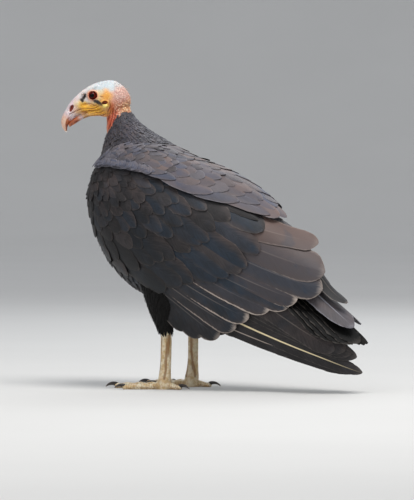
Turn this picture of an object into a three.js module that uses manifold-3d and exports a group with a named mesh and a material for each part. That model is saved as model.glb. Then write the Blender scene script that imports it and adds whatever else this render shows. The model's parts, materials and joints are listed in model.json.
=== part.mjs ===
// A lesser yellow-headed vulture at life size, standing with folded wings and its head turned to its left.
// Millimetres, +Z up. The bird faces -Y, its left side is +X, and its soles lie on z = 0.
// The body is lofted whole and parted with thin cuts. The folded wings are nested shells round the trunk,
// trimmed to the outline of their feathers as seen from the side.
import * as THREE from "three";
import { mergeVertices } from "three/addons/utils/BufferGeometryUtils.js";
import Module from "manifold-3d";

const wasm = await Module();
wasm.setup();

// ---- Driving dimensions ----
const CLEARANCE = 0.4; // space left between neighbouring pieces
const HEAD_YAW = THREE.MathUtils.degToRad(30); // the head's turn to the bird's left
const HEAD_PIVOT = new THREE.Vector3(0, -89.3, 0); // where the head's own frame stands
const LEG_SPREAD = 35; // each leg's distance from the middle plane
const WING_THICKNESS = 8; // folded arm, coverts and secondaries
const PRIMARY_THICKNESS = 3.5; // the folded hand, inside the secondaries
const SCAPULAR_THICKNESS = 4; // the cape over the top of the wing
const RIGHT_WING_SHIFT = [0, -20, 0]; // the right wing is drawn this much forward of the left
const RIGHT_WING_TUCK = 16; // and its innermost quills slide under the left wing's by this
const EYE_RADIUS = 6.3;
const SLIVER = 0.1; // facets flatter than this are merged

// ---- Colours ----
const finish = (color, roughness) => new THREE.MeshStandardMaterial({ color, roughness, metalness: 0 });
const FINISH = {
  plumage: finish(0x33302f, 0.7),
  coverts: finish(0x3a3b40, 0.65),
  quills: finish(0x4a4340, 0.65),
  headSkin: finish(0xd9a36a, 0.55),
  legSkin: finish(0xcdb892, 0.7),
  bill: finish(0xe3bfa4, 0.4),
  claw: finish(0x2e2a2c, 0.4),
  eye: finish(0x3a0d08, 0.15),
};

// ---- Shape tools ----
const X_AXIS = new THREE.Vector3(1, 0, 0);

/** A smooth row of numbers at share t along the keys, by a uniform Catmull-Rom spline through each column. */
function rowAt(keys, t) {
  const span = t * (keys.length - 1);
  const i = Math.min(Math.floor(span), keys.length - 2);
  const s = span - i;
  const [a, b, c, d] = [i - 1, i, i + 1, i + 2].map(
    (k) => keys[THREE.MathUtils.clamp(k, 0, keys.length - 1)],
  );
  return b.map(
    (_, k) =>
      0.5 *
      (2 * b[k] +
        (c[k] - a[k]) * s +
        (2 * a[k] - 5 * b[k] + 4 * c[k] - d[k]) * s * s +
        (3 * b[k] - a[k] - 3 * c[k] + d[k]) * s * s * s),
  );
}

/** A closed geometry as a solid, turned the right way out. */
function solidOf(geometry) {
  const bare = new THREE.BufferGeometry().setAttribute("position", geometry.getAttribute("position"));
  if (geometry.index) bare.setIndex(geometry.index);
  const merged = mergeVertices(bare, 1e-4);
  const vertProperties = new Float32Array(merged.attributes.position.array);
  const build = (triVerts) => new wasm.Manifold(new wasm.Mesh({ numProp: 3, vertProperties, triVerts }));
  const corners = new Uint32Array(merged.index.array);
  const solid = build(corners);
  return solid.volume() > 0 ? solid : build(corners.toReversed());
}

/**
 * A closed loft through oval sections. Each key is [x, y, z, half width, upper depth, lower depth]. The width
 * runs along side, the upper depth along side x tangent. grow adds to every radius, and a fullness above 2
 * squares the ovals off.
 */
function loft(keys, { rings = 16, sides = 16, side = X_AXIS, grow = 0, fullness = 2, matrix = null } = {}) {
  const bulge = (v) => Math.sign(v) * Math.abs(v) ** (2 / fullness);
  const rows = Array.from({ length: rings }, (_, i) => rowAt(keys, i / (rings - 1)));
  const centres = rows.map(([x, y, z]) => new THREE.Vector3(x, y, z));
  const points = [centres[0].clone()];
  rows.forEach(([, , , width, upper, lower], i) => {
    const ahead = centres[Math.min(i + 1, rings - 1)];
    const behind = centres[Math.max(i - 1, 0)];
    const tangent = ahead.clone().sub(behind).normalize();
    const upward = side.clone().cross(tangent).normalize();
    for (let k = 0; k < sides; k++) {
      const angle = (2 * Math.PI * k) / sides;
      const depth = (Math.sin(angle) > 0 ? upper : lower) + grow;
      points.push(
        centres[i]
          .clone()
          .addScaledVector(side, (width + grow) * bulge(Math.cos(angle)))
          .addScaledVector(upward, depth * bulge(Math.sin(angle))),
      );
    }
  });
  points.push(centres[rings - 1].clone());
  const at = (ring, k) => 1 + ring * sides + (k % sides);
  const index = [];
  for (let k = 0; k < sides; k++) {
    index.push(0, at(0, k), at(0, k + 1));
    index.push(points.length - 1, at(rings - 1, k + 1), at(rings - 1, k));
    for (let ring = 0; ring < rings - 1; ring++) {
      index.push(at(ring, k), at(ring + 1, k), at(ring + 1, k + 1));
      index.push(at(ring, k), at(ring + 1, k + 1), at(ring, k + 1));
    }
  }
  const geometry = new THREE.BufferGeometry().setFromPoints(points).setIndex(index);
  if (matrix) geometry.applyMatrix4(matrix);
  return solidOf(geometry);
}

/** A side-view outline in the (y, z) plane, pushed through the bird from x = from to x = to. */
function sideCut(shape, from, to) {
  const geometry = new THREE.ExtrudeGeometry(shape, { depth: to - from, bevelEnabled: false, curveSegments: 4 });
  const basis = new THREE.Matrix4().makeBasis(
    new THREE.Vector3(0, 1, 0),
    new THREE.Vector3(0, 0, 1),
    new THREE.Vector3(1, 0, 0),
  );
  return solidOf(geometry.applyMatrix4(basis.setPosition(from, 0, 0)));
}

/** A feather's outline: straight sides that widen from the root, and a rounded tip. */
function featherShape([rootY, rootZ], [tipY, tipZ], halfWidth, rootShare = 0.6, tipShare = 1.3) {
  const along = new THREE.Vector2(tipY - rootY, tipZ - rootZ);
  const length = along.length();
  along.normalize();
  const place = (distance, across) =>
    new THREE.Vector2(rootY, rootZ)
      .addScaledVector(along, distance)
      .add(new THREE.Vector2(-along.y, along.x).multiplyScalar(across));
  const shoulder = length - tipShare * halfWidth;
  const points = [place(0, -rootShare * halfWidth), place(shoulder, -halfWidth)];
  const steps = 5;
  for (let i = 1; i < steps; i++) {
    const angle = -Math.PI / 2 + (Math.PI * i) / steps;
    points.push(place(shoulder + tipShare * halfWidth * Math.cos(angle), halfWidth * Math.sin(angle)));
  }
  points.push(place(shoulder, halfWidth), place(0, rootShare * halfWidth));
  return new THREE.Shape(points);
}

const union = (solids) => solids.reduce((all, one) => all.add(one));

const biggest = (solid) => solid.decompose().reduce((a, b) => (a.volume() > b.volume() ? a : b));
const without = (solid, ...others) => biggest(others.reduce((left, other) => left.subtract(other), solid));
const mirrored = (solid) => solid.mirror([1, 0, 0]);

// ---- Head and bill ----
// The head's own frame faces -Y and is turned about its pivot. Its keys read [forward, z, half width, up, down].
const headFrame = new THREE.Matrix4()
  .makeTranslation(HEAD_PIVOT)
  .multiply(new THREE.Matrix4().makeRotationZ(HEAD_YAW));
const forward = ([ahead, z, ...radii]) => [0, -ahead, z, ...radii];
const headLoft = (keys, options) =>
  loft(keys.map(forward), { ...options, side: new THREE.Vector3(-1, 0, 0), matrix: headFrame });
const headPlane = (ahead, z, nAhead, nZ) => {
  const normal = new THREE.Vector3(0, -nAhead, nZ).normalize().transformDirection(headFrame);
  const point = new THREE.Vector3(0, -ahead, z).applyMatrix4(headFrame);
  return [normal.toArray(), normal.dot(point)];
};
const flipPlane = ([normal, offset]) => [normal.map((v) => -v), -offset];

/** The part of a solid ahead of a plane, or behind it, half a clearance away. */
const ahead = (solid, [normal, offset]) => solid.trimByPlane(normal, offset + CLEARANCE / 2);
const behind = (solid, plane) => ahead(solid, flipPlane(plane));

const SKULL_KEYS = [
  [-14, 375, 4, 4, 5],
  [-11, 375, 10, 8.8, 14],
  [-3.5, 375.5, 16, 17.5, 21],
  [9, 376, 19.3, 24, 23],
  [22, 375.5, 19.2, 23.3, 21],
  [35, 373, 16.5, 20.3, 15.5],
  [47, 369, 12.8, 15.5, 11],
  [57, 363.5, 10.3, 11.3, 9.5],
  [64, 357, 8.8, 8.4, 8.6],
  [69.5, 350, 7.4, 6.4, 7],
  [71.3, 343, 5.4, 5, 4.6],
  [70.8, 337.5, 3.2, 3, 2.4],
  [69.3, 332.6, 0.9, 0.8, 0.8],
];
const JAW_KEYS = [
  [4, 362, 12, 8, 8],
  [16, 359.5, 13, 7, 7.4],
  [28, 358.5, 11, 5, 5],
  [40, 356, 8.6, 3.6, 3.4],
  [51, 351.2, 6.4, 3.4, 3],
  [60, 346, 4.8, 2.8, 2.6],
  [66, 341.6, 2.4, 1.6, 1.4],
];
const skull = (grow) => headLoft(SKULL_KEYS, { rings: 24, sides: 14, grow });
const jaw = (grow) => headLoft(JAW_KEYS, { rings: 11, sides: 12, grow });
const eyeball = (s, grow) =>
  solidOf(
    new THREE.SphereGeometry(EYE_RADIUS + grow, 14, 8).translate(s * 11.6, -34.7, 380.4).applyMatrix4(headFrame),
  );
const HORN_EDGE = headPlane(66.6, 354.7, 0.69, -0.72); // where the horn of the bill begins
const CHIN_EDGE = headPlane(49, 352, 0.9, -0.43); // the same on the lower bill

function makeHead() {
  const billUpper = ahead(skull(0), HORN_EDGE);
  const billLower = without(ahead(jaw(0), CHIN_EDGE), skull(CLEARANCE));
  const nostril = solidOf(
    new THREE.CylinderGeometry(1.8, 1.8, 40, 8)
      .rotateZ(Math.PI / 2)
      .scale(1, 1, 2.3)
      .rotateX(THREE.MathUtils.degToRad(-24))
      .translate(0, -63.4, 362.8)
      .applyMatrix4(headFrame),
  );
  const flesh = behind(skull(0), HORN_EDGE).add(behind(jaw(0), CHIN_EDGE));
  const head = without(flesh, eyeball(1, CLEARANCE), eyeball(-1, CLEARANCE), nostril);
  return { head, billUpper, billLower, eyes: [eyeball(1, 0), eyeball(-1, 0)] };
}

// ---- Neck and trunk: one loft from the head's base to the root of the tail ----
// Keys read [y, z, half width, back, belly].
const inMiddle = ([y, z, ...radii]) => [0, y, z, ...radii];
const BODY_KEYS = [
  [-90, 366, 13, 14, 14],
  [-89, 350, 17.5, 18.5, 17.5],
  [-83, 333, 24, 25, 25],
  [-72, 314, 38, 33, 46],
  [-56, 290, 53, 46, 72],
  [-36, 259, 64, 58, 96],
  [-10, 230, 68, 66, 109],
  [24, 207, 68, 70, 105],
  [62, 188, 60, 68, 84],
  [100, 170, 45, 54, 46],
  [134, 150, 30, 38, 30],
  [162, 130, 17, 22, 18],
  [180, 116, 7, 8, 8],
].map(inMiddle);
const NECK_EDGE = [[0, -0.55, 0.835], 0.55 * 72 + 0.835 * 314]; // the cut between neck and trunk
const COLLAR_EDGE = [[0, -0.55, 0.835], 0.55 * 50 + 0.835 * 280]; // the capes stand off the neck above this

// ---- Wing envelope: the outer surface that the folded wings share ----
const ENVELOPE_KEYS = [
  [-92, 304, 44, 12, 26],
  [-76, 292, 69, 33, 60],
  [-52, 268, 76, 52, 86],
  [-20, 236, 81, 71, 103],
  [20, 207, 82, 85, 103],
  [62, 184, 76, 90, 104],
  [104, 160, 64, 87, 104],
  [146, 134, 51, 80, 95],
  [188, 106, 39, 75, 80],
  [230, 78, 29, 62, 58],
  [272, 48, 21, 42, 36],
  [300, 28, 16, 26, 22],
].map(inMiddle);
const envelope = (grow) => loft(ENVELOPE_KEYS, { rings: 16, sides: 20, grow, fullness: 2.5 });
const shell = (outer, inner) => envelope(outer).subtract(envelope(inner));

// The breast and belly show between the wings: this is taken out of both.
const KEEL_KEYS = [
  [-118, 300, 40, 30, 30],
  [-112, 250, 46, 34, 30],
  [-86, 190, 46, 36, 40],
  [-30, 130, 40, 34, 50],
  [40, 96, 32, 28, 50],
  [110, 70, 22, 24, 50],
].map(inMiddle);
const keel = (grow) => loft(KEEL_KEYS, { rings: 10, sides: 12, grow });

/** Room for the neck between the two shoulders. */
const collar = () => ahead(loft(BODY_KEYS, { rings: 14, sides: 16, grow: 7, fullness: 2.3 }), COLLAR_EDGE);

// Secondaries and tertials, seen from the side: tips from the innermost tertial down to the lowest secondary.
const SECONDARY_TIPS = [
  [213, 193],
  [219, 168],
  [230, 138],
  [198, 114],
  [156, 98],
  [120, 88],
  [94, 80],
];
const SECONDARY_ROOTS = [
  [40, 262],
  [10, 230],
  [-30, 190],
];
const SECONDARIES = 9;

/** The side outlines' prisms, joined; when grown, a little larger all round. */
function outlineOf(shapes, grow) {
  const whole = union(shapes.map((shape) => sideCut(shape, 3 - grow, 130)));
  if (!grow) return whole;
  const moves = [-grow, grow].flatMap((d) => [whole.translate([0, d, 0]), whole.translate([0, 0, d])]);
  return union([whole, ...moves]);
}

function makeWing(tuck, grow) {
  const arm = new THREE.Shape();
  arm.moveTo(-60, 305);
  arm.bezierCurveTo(-112, 300, -118, 255, -97, 216);
  arm.bezierCurveTo(-84, 186, -58, 152, -10, 116);
  arm.bezierCurveTo(20, 98, 60, 88, 80, 92);
  arm.lineTo(160, 190);
  arm.bezierCurveTo(120, 250, 20, 296, -60, 305);
  const vanes = Array.from({ length: SECONDARIES }, (_, i) => {
    const t = i / (SECONDARIES - 1);
    const [tipY, tipZ] = rowAt(SECONDARY_TIPS, t);
    return featherShape(rowAt(SECONDARY_ROOTS, t), [tipY - tuck * (1 - t), tipZ], 16.5 - 2.5 * t);
  });
  return shell(grow, -WING_THICKNESS - grow)
    .intersect(outlineOf([arm, ...vanes], grow))
    .subtract(keel(-grow))
    .subtract(collar());
}

const PRIMARY_TIPS = [
  [196, 98],
  [222, 70],
  [246, 50],
  [268, 37],
  [281, 29],
];
const PRIMARIES = 6;

function makePrimaries(grow) {
  const vanes = Array.from({ length: PRIMARIES }, (_, i) => {
    const t = i / (PRIMARIES - 1);
    return featherShape([80, 118 - 14 * t], rowAt(PRIMARY_TIPS, t), 15 - 4.5 * t, 0.9, 1.8);
  });
  const outer = -WING_THICKNESS - CLEARANCE;
  return shell(outer + grow, outer - PRIMARY_THICKNESS - grow).intersect(outlineOf(vanes, grow));
}

function makeScapulars() {
  const cape = new THREE.Shape();
  cape.moveTo(-80, 330);
  cape.lineTo(-100, 294);
  cape.bezierCurveTo(-70, 290, -40, 288, 2, 281);
  cape.bezierCurveTo(40, 270, 60, 256, 84, 244);
  cape.bezierCurveTo(110, 226, 130, 216, 160, 211);
  cape.bezierCurveTo(174, 213, 178, 226, 168, 250);
  cape.lineTo(60, 330);
  return shell(2 * CLEARANCE + SCAPULAR_THICKNESS, 2 * CLEARANCE).intersect(sideCut(cape, 2, 130)).subtract(collar());
}

// ---- Tail: the quills in a closed fan, folded like a roof ----
const TAIL_ROOT = new THREE.Vector3(0, 119, 200);
const TAIL_SLOPE = THREE.MathUtils.degToRad(40);
const TAIL_LENGTH = 205;
const TAIL_PAIRS = 5;

function makeTail() {
  const quills = [];
  for (let i = 0; i < TAIL_PAIRS; i++) {
    for (const s of [1, -1]) {
      const length = TAIL_LENGTH - 1.7 * i * i;
      const outline = featherShape([0, 0], [length, 0], 15 - 0.5 * i, 0.35, 1.1);
      const quill = new THREE.ExtrudeGeometry(outline, { depth: 2.2, bevelEnabled: false, curveSegments: 2 });
      // The outline lies in the quill's own plane: +Y along the shaft, +X across, +Z thickness.
      quill.applyMatrix4(
        new THREE.Matrix4().makeBasis(
          new THREE.Vector3(0, 1, 0),
          new THREE.Vector3(-1, 0, 0),
          new THREE.Vector3(0, 0, 1),
        ),
      );
      quill.translate(s * (7 + 0.8 * i), 0, 0);
      quill.rotateZ(-s * THREE.MathUtils.degToRad(0.6 + 1.1 * i));
      quill.rotateY(s * THREE.MathUtils.degToRad(24 + 6 * i));
      quill.translate(0, 0, -1.8 * i);
      quill.rotateX(-TAIL_SLOPE);
      quill.translate(TAIL_ROOT.x, TAIL_ROOT.y, TAIL_ROOT.z);
      quills.push(solidOf(quill));
    }
  }
  return union(quills);
}

// ---- Legs: feathered thigh, bare shank with its foot pad, four toes and their claws ----
const downLoft = (keys, options) => loft(keys, { rings: 11, sides: 12, ...options });

const makeThigh = () =>
  downLoft([
    [36, 4, 160, 26, 36, 40],
    [37, 2, 132, 24, 32, 34],
    [37, 0, 106, 18, 21, 22],
    [36, 1, 84, 11.5, 12.5, 13],
    [LEG_SPREAD, 2, 70, 7.6, 8, 8],
    [LEG_SPREAD, 2, 62, 5.4, 5.6, 5.6],
  ]);

const makeShank = (grow) =>
  downLoft(
    [
      [LEG_SPREAD, 2.2, 76, 5.4, 6, 6],
      [LEG_SPREAD, 2, 60, 5.4, 6.2, 6],
      [LEG_SPREAD, 1.4, 40, 5.2, 6.2, 6],
      [LEG_SPREAD, 0.6, 24, 6.2, 6.8, 6.8],
      [LEG_SPREAD, 0, 13, 8.6, 8.6, 9],
      [LEG_SPREAD, -0.4, 4, 9.6, 9, 10.4],
      [LEG_SPREAD, -0.4, -4, 8, 8, 8],
    ],
    { grow },
  ).trimByPlane([0, 0, 1], -grow);

// Toes by name: bearing from straight ahead, outwards positive; length; radius at the base; joints; claw length.
const TOES = {
  middle: { bearing: 4, length: 71, radius: 5, joints: 4, claw: 18 },
  inner: { bearing: -24, length: 50, radius: 4.6, joints: 3, claw: 17 },
  outer: { bearing: 34, length: 54, radius: 4.4, joints: 4, claw: 14 },
  hind: { bearing: 172, length: 27, radius: 4.2, joints: 2, claw: 17 },
};
const TOE_TAPER = 0.3;

function toeFrame(bearing) {
  return new THREE.Matrix4()
    .makeTranslation(LEG_SPREAD, -0.4, 0)
    .multiply(new THREE.Matrix4().makeRotationZ(THREE.MathUtils.degToRad(bearing)));
}

/** A toe swells over each joint, and its pads are flattened where they bear. */
function makeToe({ bearing, length, radius, joints }, grow) {
  const keys = [];
  const steps = joints * 3;
  for (let i = 0; i <= steps; i++) {
    const t = i / steps;
    const swell = 1 + 0.1 * Math.cos(2 * Math.PI * joints * t);
    const r = radius * (1 - TOE_TAPER * t) * swell * (i === steps ? 0.75 : 1);
    keys.push(forward([length * t, 0.72 * r + 0.4 * Math.sin(Math.PI * t), 0.92 * r, r, r]));
  }
  const toe = loft(keys, {
    rings: steps + 1,
    sides: 8,
    side: new THREE.Vector3(-1, 0, 0),
    matrix: toeFrame(bearing),
    grow,
  });
  return toe.trimByPlane([0, 0, 1], -grow);
}

/** A claw is a tapering horn bent along an arc, its point just clear of the floor. */
function makeClaw({ bearing, length, radius, claw }) {
  const sweep = 1.25;
  const bend = claw / sweep;
  const root = radius * (1 - TOE_TAPER) * 0.85;
  const keys = [];
  const steps = 5;
  for (let i = 0; i <= steps; i++) {
    const t = i / steps;
    const angle = 0.45 - sweep * t;
    const reach = bend * (Math.sin(0.45) - Math.sin(angle));
    const lift = bend * (Math.cos(angle) - Math.cos(0.45));
    const r = root * (1 - t) ** 0.7 + 0.35;
    keys.push(forward([length - 2 + reach, 4.2 + lift, 0.72 * r, r, r]));
  }
  return loft(keys, {
    rings: steps + 1,
    sides: 8,
    side: new THREE.Vector3(-1, 0, 0),
    matrix: toeFrame(bearing),
  }).trimByPlane([0, 0, 1], 0.3);
}

/** The toes part from the foot pad and from each other in order, and each claw from its own toe. */
function makeFoot() {
  const pieces = {};
  const taken = [makeShank(CLEARANCE)];
  for (const [name, toe] of Object.entries(TOES)) {
    pieces["toe_" + name] = without(makeToe(toe, 0), ...taken);
    pieces["claw_" + name] = without(makeClaw(toe), makeToe(toe, CLEARANCE));
    taken.push(makeToe(toe, CLEARANCE));
  }
  return pieces;
}

// ---- Assembly ----
const bird = new THREE.Group();

function addNode(name, solid, material) {
  const mesh = biggest(solid.simplify(SLIVER)).getMesh();
  const geometry = new THREE.BufferGeometry()
    .setAttribute("position", new THREE.BufferAttribute(new Float32Array(mesh.vertProperties), 3))
    .setIndex(new THREE.BufferAttribute(new Uint32Array(mesh.triVerts), 1));
  geometry.computeVertexNormals();
  const node = new THREE.Mesh(geometry, material);
  node.name = name;
  bird.add(node);
}

function addPair(name, left, material) {
  addNode(name + "_left", left, material);
  addNode(name + "_right", mirrored(left), material);
}

const { head, billUpper, billLower, eyes } = makeHead();
addNode("head", head, FINISH.headSkin);
addNode("bill_upper", billUpper, FINISH.bill);
addNode("bill_lower", billLower, FINISH.bill);
addNode("eye_left", eyes[0], FINISH.eye);
addNode("eye_right", eyes[1], FINISH.eye);

const body = (grow) => loft(BODY_KEYS, { rings: 19, sides: 18, grow, fullness: 2.3 });
addNode("neck", without(ahead(body(0), NECK_EDGE), skull(CLEARANCE), jaw(CLEARANCE)), FINISH.plumage);
addNode("trunk", behind(body(0), NECK_EDGE), FINISH.plumage);

// The two wings fold alike, but the right one is drawn forward with the turn of the shoulders.
const toRight = (solid) => mirrored(solid).translate(RIGHT_WING_SHIFT);
const quills = (grow) => [
  ["wing_left", makeWing(0, grow), FINISH.coverts],
  ["wing_right", toRight(makeWing(RIGHT_WING_TUCK, grow)), FINISH.coverts],
  ["primaries_left", makePrimaries(grow), FINISH.quills],
  ["primaries_right", toRight(makePrimaries(grow)), FINISH.quills],
];
for (const [name, solid, material] of quills(0)) addNode(name, without(solid, body(CLEARANCE)), material);
addNode("scapulars_left", without(makeScapulars(), body(CLEARANCE)), FINISH.plumage);
addNode("scapulars_right", without(toRight(makeScapulars()), body(CLEARANCE)), FINISH.plumage);

const taken = [body(CLEARANCE), ...quills(CLEARANCE).map(([, solid]) => solid)];
const thigh = makeThigh().subtract(makeShank(CLEARANCE));
addNode("thigh_left", without(thigh, ...taken), FINISH.plumage);
addNode("thigh_right", without(mirrored(thigh), ...taken), FINISH.plumage);
addNode("tail", without(makeTail(), ...taken), FINISH.quills);
addPair("shank", makeShank(0), FINISH.legSkin);
for (const [name, solid] of Object.entries(makeFoot())) {
  addPair(name, solid, name.startsWith("claw") ? FINISH.claw : FINISH.legSkin);
}

// The frame's origin is on the floor, under the middle of the bird's own box.
const box = new THREE.Box3().setFromObject(bird);
const middle = box.getCenter(new THREE.Vector3());
bird.position.set(-middle.x, -middle.y, 0);

export default bird;
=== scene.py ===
import json
import math

import bmesh
import bpy
import numpy as np
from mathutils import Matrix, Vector, noise
from mathutils.bvhtree import BVHTree

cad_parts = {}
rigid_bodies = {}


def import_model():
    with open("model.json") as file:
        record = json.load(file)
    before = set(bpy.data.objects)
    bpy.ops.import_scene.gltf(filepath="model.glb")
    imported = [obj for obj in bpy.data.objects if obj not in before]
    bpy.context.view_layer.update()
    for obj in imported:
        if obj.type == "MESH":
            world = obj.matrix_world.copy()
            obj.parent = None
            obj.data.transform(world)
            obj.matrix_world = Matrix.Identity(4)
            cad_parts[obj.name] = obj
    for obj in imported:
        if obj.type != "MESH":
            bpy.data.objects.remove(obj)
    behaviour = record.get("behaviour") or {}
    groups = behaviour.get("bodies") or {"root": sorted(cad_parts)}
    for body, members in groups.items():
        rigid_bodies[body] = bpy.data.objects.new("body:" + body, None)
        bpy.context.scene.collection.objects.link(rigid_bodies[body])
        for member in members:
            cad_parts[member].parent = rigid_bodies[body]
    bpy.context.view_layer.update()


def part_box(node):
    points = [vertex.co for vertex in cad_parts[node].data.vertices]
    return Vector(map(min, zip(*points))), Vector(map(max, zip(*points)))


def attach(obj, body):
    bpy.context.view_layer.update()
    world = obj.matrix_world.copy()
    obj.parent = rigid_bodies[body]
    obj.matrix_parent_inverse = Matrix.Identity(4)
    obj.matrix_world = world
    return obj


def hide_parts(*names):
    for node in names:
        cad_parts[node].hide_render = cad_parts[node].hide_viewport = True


# A lesser yellow-headed vulture at life size, standing with folded wings and its head turned to its left.
# Lengths are in millimetres in the bird's own frame, and are turned to metres as each mesh is made: the bird
# faces -Y, its left side is +X, its feet stand at y = 0 and its soles lie on z = 0.
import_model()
rng = np.random.default_rng(7)

# ---- The bird's place in the frame ----
# The two eyes fix the head, and the head fixes everything else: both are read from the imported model.
HEAD_YAW = math.radians(30)
HEAD_PIVOT_Y = -89.3
EYE_AHEAD, EYE_HEIGHT, EYE_RADIUS = 34.7, 380.4, 6.3


def middle_of(node):
    low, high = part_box(node)
    return 500 * np.array(low + high)


eye_left, eye_right = middle_of("eye_left"), middle_of("eye_right")
EYES_Y = HEAD_PIVOT_Y - EYE_AHEAD * math.cos(HEAD_YAW)
BIRD_PLACE = np.array([0, (eye_left + eye_right)[1] / 2 - EYES_Y, 0])


def metres(points):
    return (np.asarray(points, float) + BIRD_PLACE) * 0.001


# ---- Studio ----
# A camera on the bird's left, level with its breast, in a wide pale bowl: a flat floor that curves up into a
# wall all round, lit by one broad soft light overhead and two weak ones.
VIEW_AZIMUTH, VIEW_ELEVATION, VIEW_DISTANCE = 120, 1.5, 6.0
SCALE_AT_BIRD = 0.65  # metres across the long side of the picture
SENSOR = 36
AIM_HEIGHT, AIM_RIGHT = 179.4, 0.03705


def linked(name, data):
    """A new object in the scene."""
    made = bpy.data.objects.new(name, data)
    bpy.context.scene.collection.objects.link(made)
    return made


def way_to(azimuth, elevation):
    """The direction of a place as the bird sees it: azimuth 0 is ahead of it, and 90 is on its left."""
    a, e = math.radians(azimuth), math.radians(elevation)
    return Vector((math.sin(a) * math.cos(e), -math.cos(a) * math.cos(e), math.sin(e)))


to_right, to_camera = way_to(VIEW_AZIMUTH + 90, 0), way_to(VIEW_AZIMUTH, VIEW_ELEVATION)
aim = Vector(metres((0, 0, AIM_HEIGHT))) + AIM_RIGHT * to_right
camera = linked("camera", bpy.data.cameras.new("camera"))
camera.data.sensor_width = SENSOR
camera.data.lens = SENSOR * VIEW_DISTANCE / SCALE_AT_BIRD
camera.location = aim + VIEW_DISTANCE * to_camera
camera.rotation_euler = to_camera.to_track_quat("Z", "Y").to_euler()
camera.data.clip_end = 100
bpy.context.scene.camera = camera
bpy.context.scene.view_settings.view_transform = "Standard"


def soft_light(name, azimuth, elevation, distance, size, power, colour):
    lamp = bpy.data.lights.new(name, "AREA")
    lamp.shape, lamp.size, lamp.energy, lamp.color = "DISK", size, power, colour
    light, away = linked(name, lamp), way_to(azimuth, elevation)
    light.location = aim + distance * away
    light.rotation_euler = away.to_track_quat("Z", "Y").to_euler()


soft_light("sky_light", 150, 68, 2.2, 1.2, 38, (1.0, 0.98, 0.96))
soft_light("side_light", 95, 25, 3.0, 1.6, 10, (1.0, 0.97, 0.93))
soft_light("rim_light", 285, 35, 2.6, 1.2, 12, (0.95, 0.98, 1.0))

world = bpy.data.worlds.new("studio_air")
world.use_nodes = True
air = world.node_tree.nodes["Background"].inputs
air["Color"].default_value, air["Strength"].default_value = (0.93, 0.95, 1.0, 1), 0.66
bpy.context.scene.world = world


class Value:
    """A shader socket that can be used in sums."""

    def __init__(self, paint, socket):
        self.paint, self.socket = paint, socket

    def __add__(self, other):
        return self.paint.sum("ADD", self, other)

    def __sub__(self, other):
        return self.paint.sum("SUBTRACT", self, other)

    def __mul__(self, other):
        return self.paint.sum("MULTIPLY", self, other)

    def __rsub__(self, other):
        return self.paint.sum("SUBTRACT", other, self)

    __radd__, __rmul__ = __add__, __mul__

    def clamped(self):
        return self.paint.node("ShaderNodeClamp", inputs={"Value": self})

    def ramp(self, low, high):
        """0 below low, 1 above high, and smooth between; it falls instead where low is above high."""
        return self.paint.node("ShaderNodeMapRange", {"interpolation_type": "SMOOTHSTEP"},
                               {"Value": self, "From Min": low, "From Max": high})


class Paint:
    """One procedural material. node() adds any node: its settings first, then its inputs' values or links."""

    def __init__(self, name):
        self.material = bpy.data.materials.new(name)
        self.material.use_nodes = True
        self.tree = self.material.node_tree
        self.tree.nodes.clear()

    def node(self, kind, settings=None, inputs=None, output=0):
        made = self.tree.nodes.new(kind)
        for key, setting in (settings or {}).items():
            setattr(made, key, setting)
        for key, given in (inputs or {}).items():
            if isinstance(given, Value):
                self.tree.links.new(given.socket, made.inputs[key])
            elif given is not None:
                made.inputs[key].default_value = (*given, 1) if (
                    isinstance(given, tuple) and made.inputs[key].type == "RGBA") else given
        return Value(self, made.outputs[output]) if output is not None else made

    def sum(self, operation, a, b):
        return self.node("ShaderNodeMath", {"operation": operation}, {0: a, 1: b})

    def sine(self, a):
        return self.node("ShaderNodeMath", {"operation": "SINE"}, {0: a})

    def own(self, name):
        """A number that the mesh carries at each of its points."""
        return self.node("ShaderNodeAttribute", {"attribute_name": name}, output="Fac")

    def point(self, x, y, z):
        return self.node("ShaderNodeCombineXYZ", {}, {"X": x, "Y": y, "Z": z})

    def noise(self, scale, detail=3, rough=0.5, at=None):
        """Mottling about 0.5; scale is in patches to the metre, or to one unit of at."""
        place = at or self.node("ShaderNodeTexCoord", output="Object")
        return self.node("ShaderNodeTexNoise", {}, {"Vector": place, "Scale": scale, "Detail": detail,
                                                   "Roughness": rough})

    def mix(self, share, a, b, blend="MIX"):
        return self.node("ShaderNodeMix", {"data_type": "RGBA", "blend_type": blend},
                         {0: share, 6: a, 7: b}, output=2)

    def finish(self, colour, roughness, height=None, depth=0.0005, **uniform):
        """The surface itself. height is the relief in units of depth metres; uniform are plain values."""
        normal = height and self.node("ShaderNodeBump", {}, {"Height": height, "Distance": depth})
        inputs = {"Base Color": colour, "Roughness": roughness, "Normal": normal}
        inputs.update({key.replace("_", " "): value for key, value in uniform.items()})
        surface = self.node("ShaderNodeBsdfPrincipled", {}, inputs, output="BSDF")
        self.node("ShaderNodeOutputMaterial", {}, {"Surface": surface}, output=None)
        return self.material


def tint(code):
    """A colour as a shader wants it, from its usual hex code."""
    parts = [int(code[i : i + 2], 16) / 255 for i in (0, 2, 4)]
    return tuple(c / 12.92 if c <= 0.04045 else ((c + 0.055) / 1.055) ** 2.4 for c in parts)


bowl_paint = Paint("studio_paint")
speckle = bowl_paint.noise(3.0, 2)
bowl_paint.finish(bowl_paint.mix(speckle, tint("cfcfcd"), tint("d4d4d2")), 0.9, Specular_IOR_Level=0.1)


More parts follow.
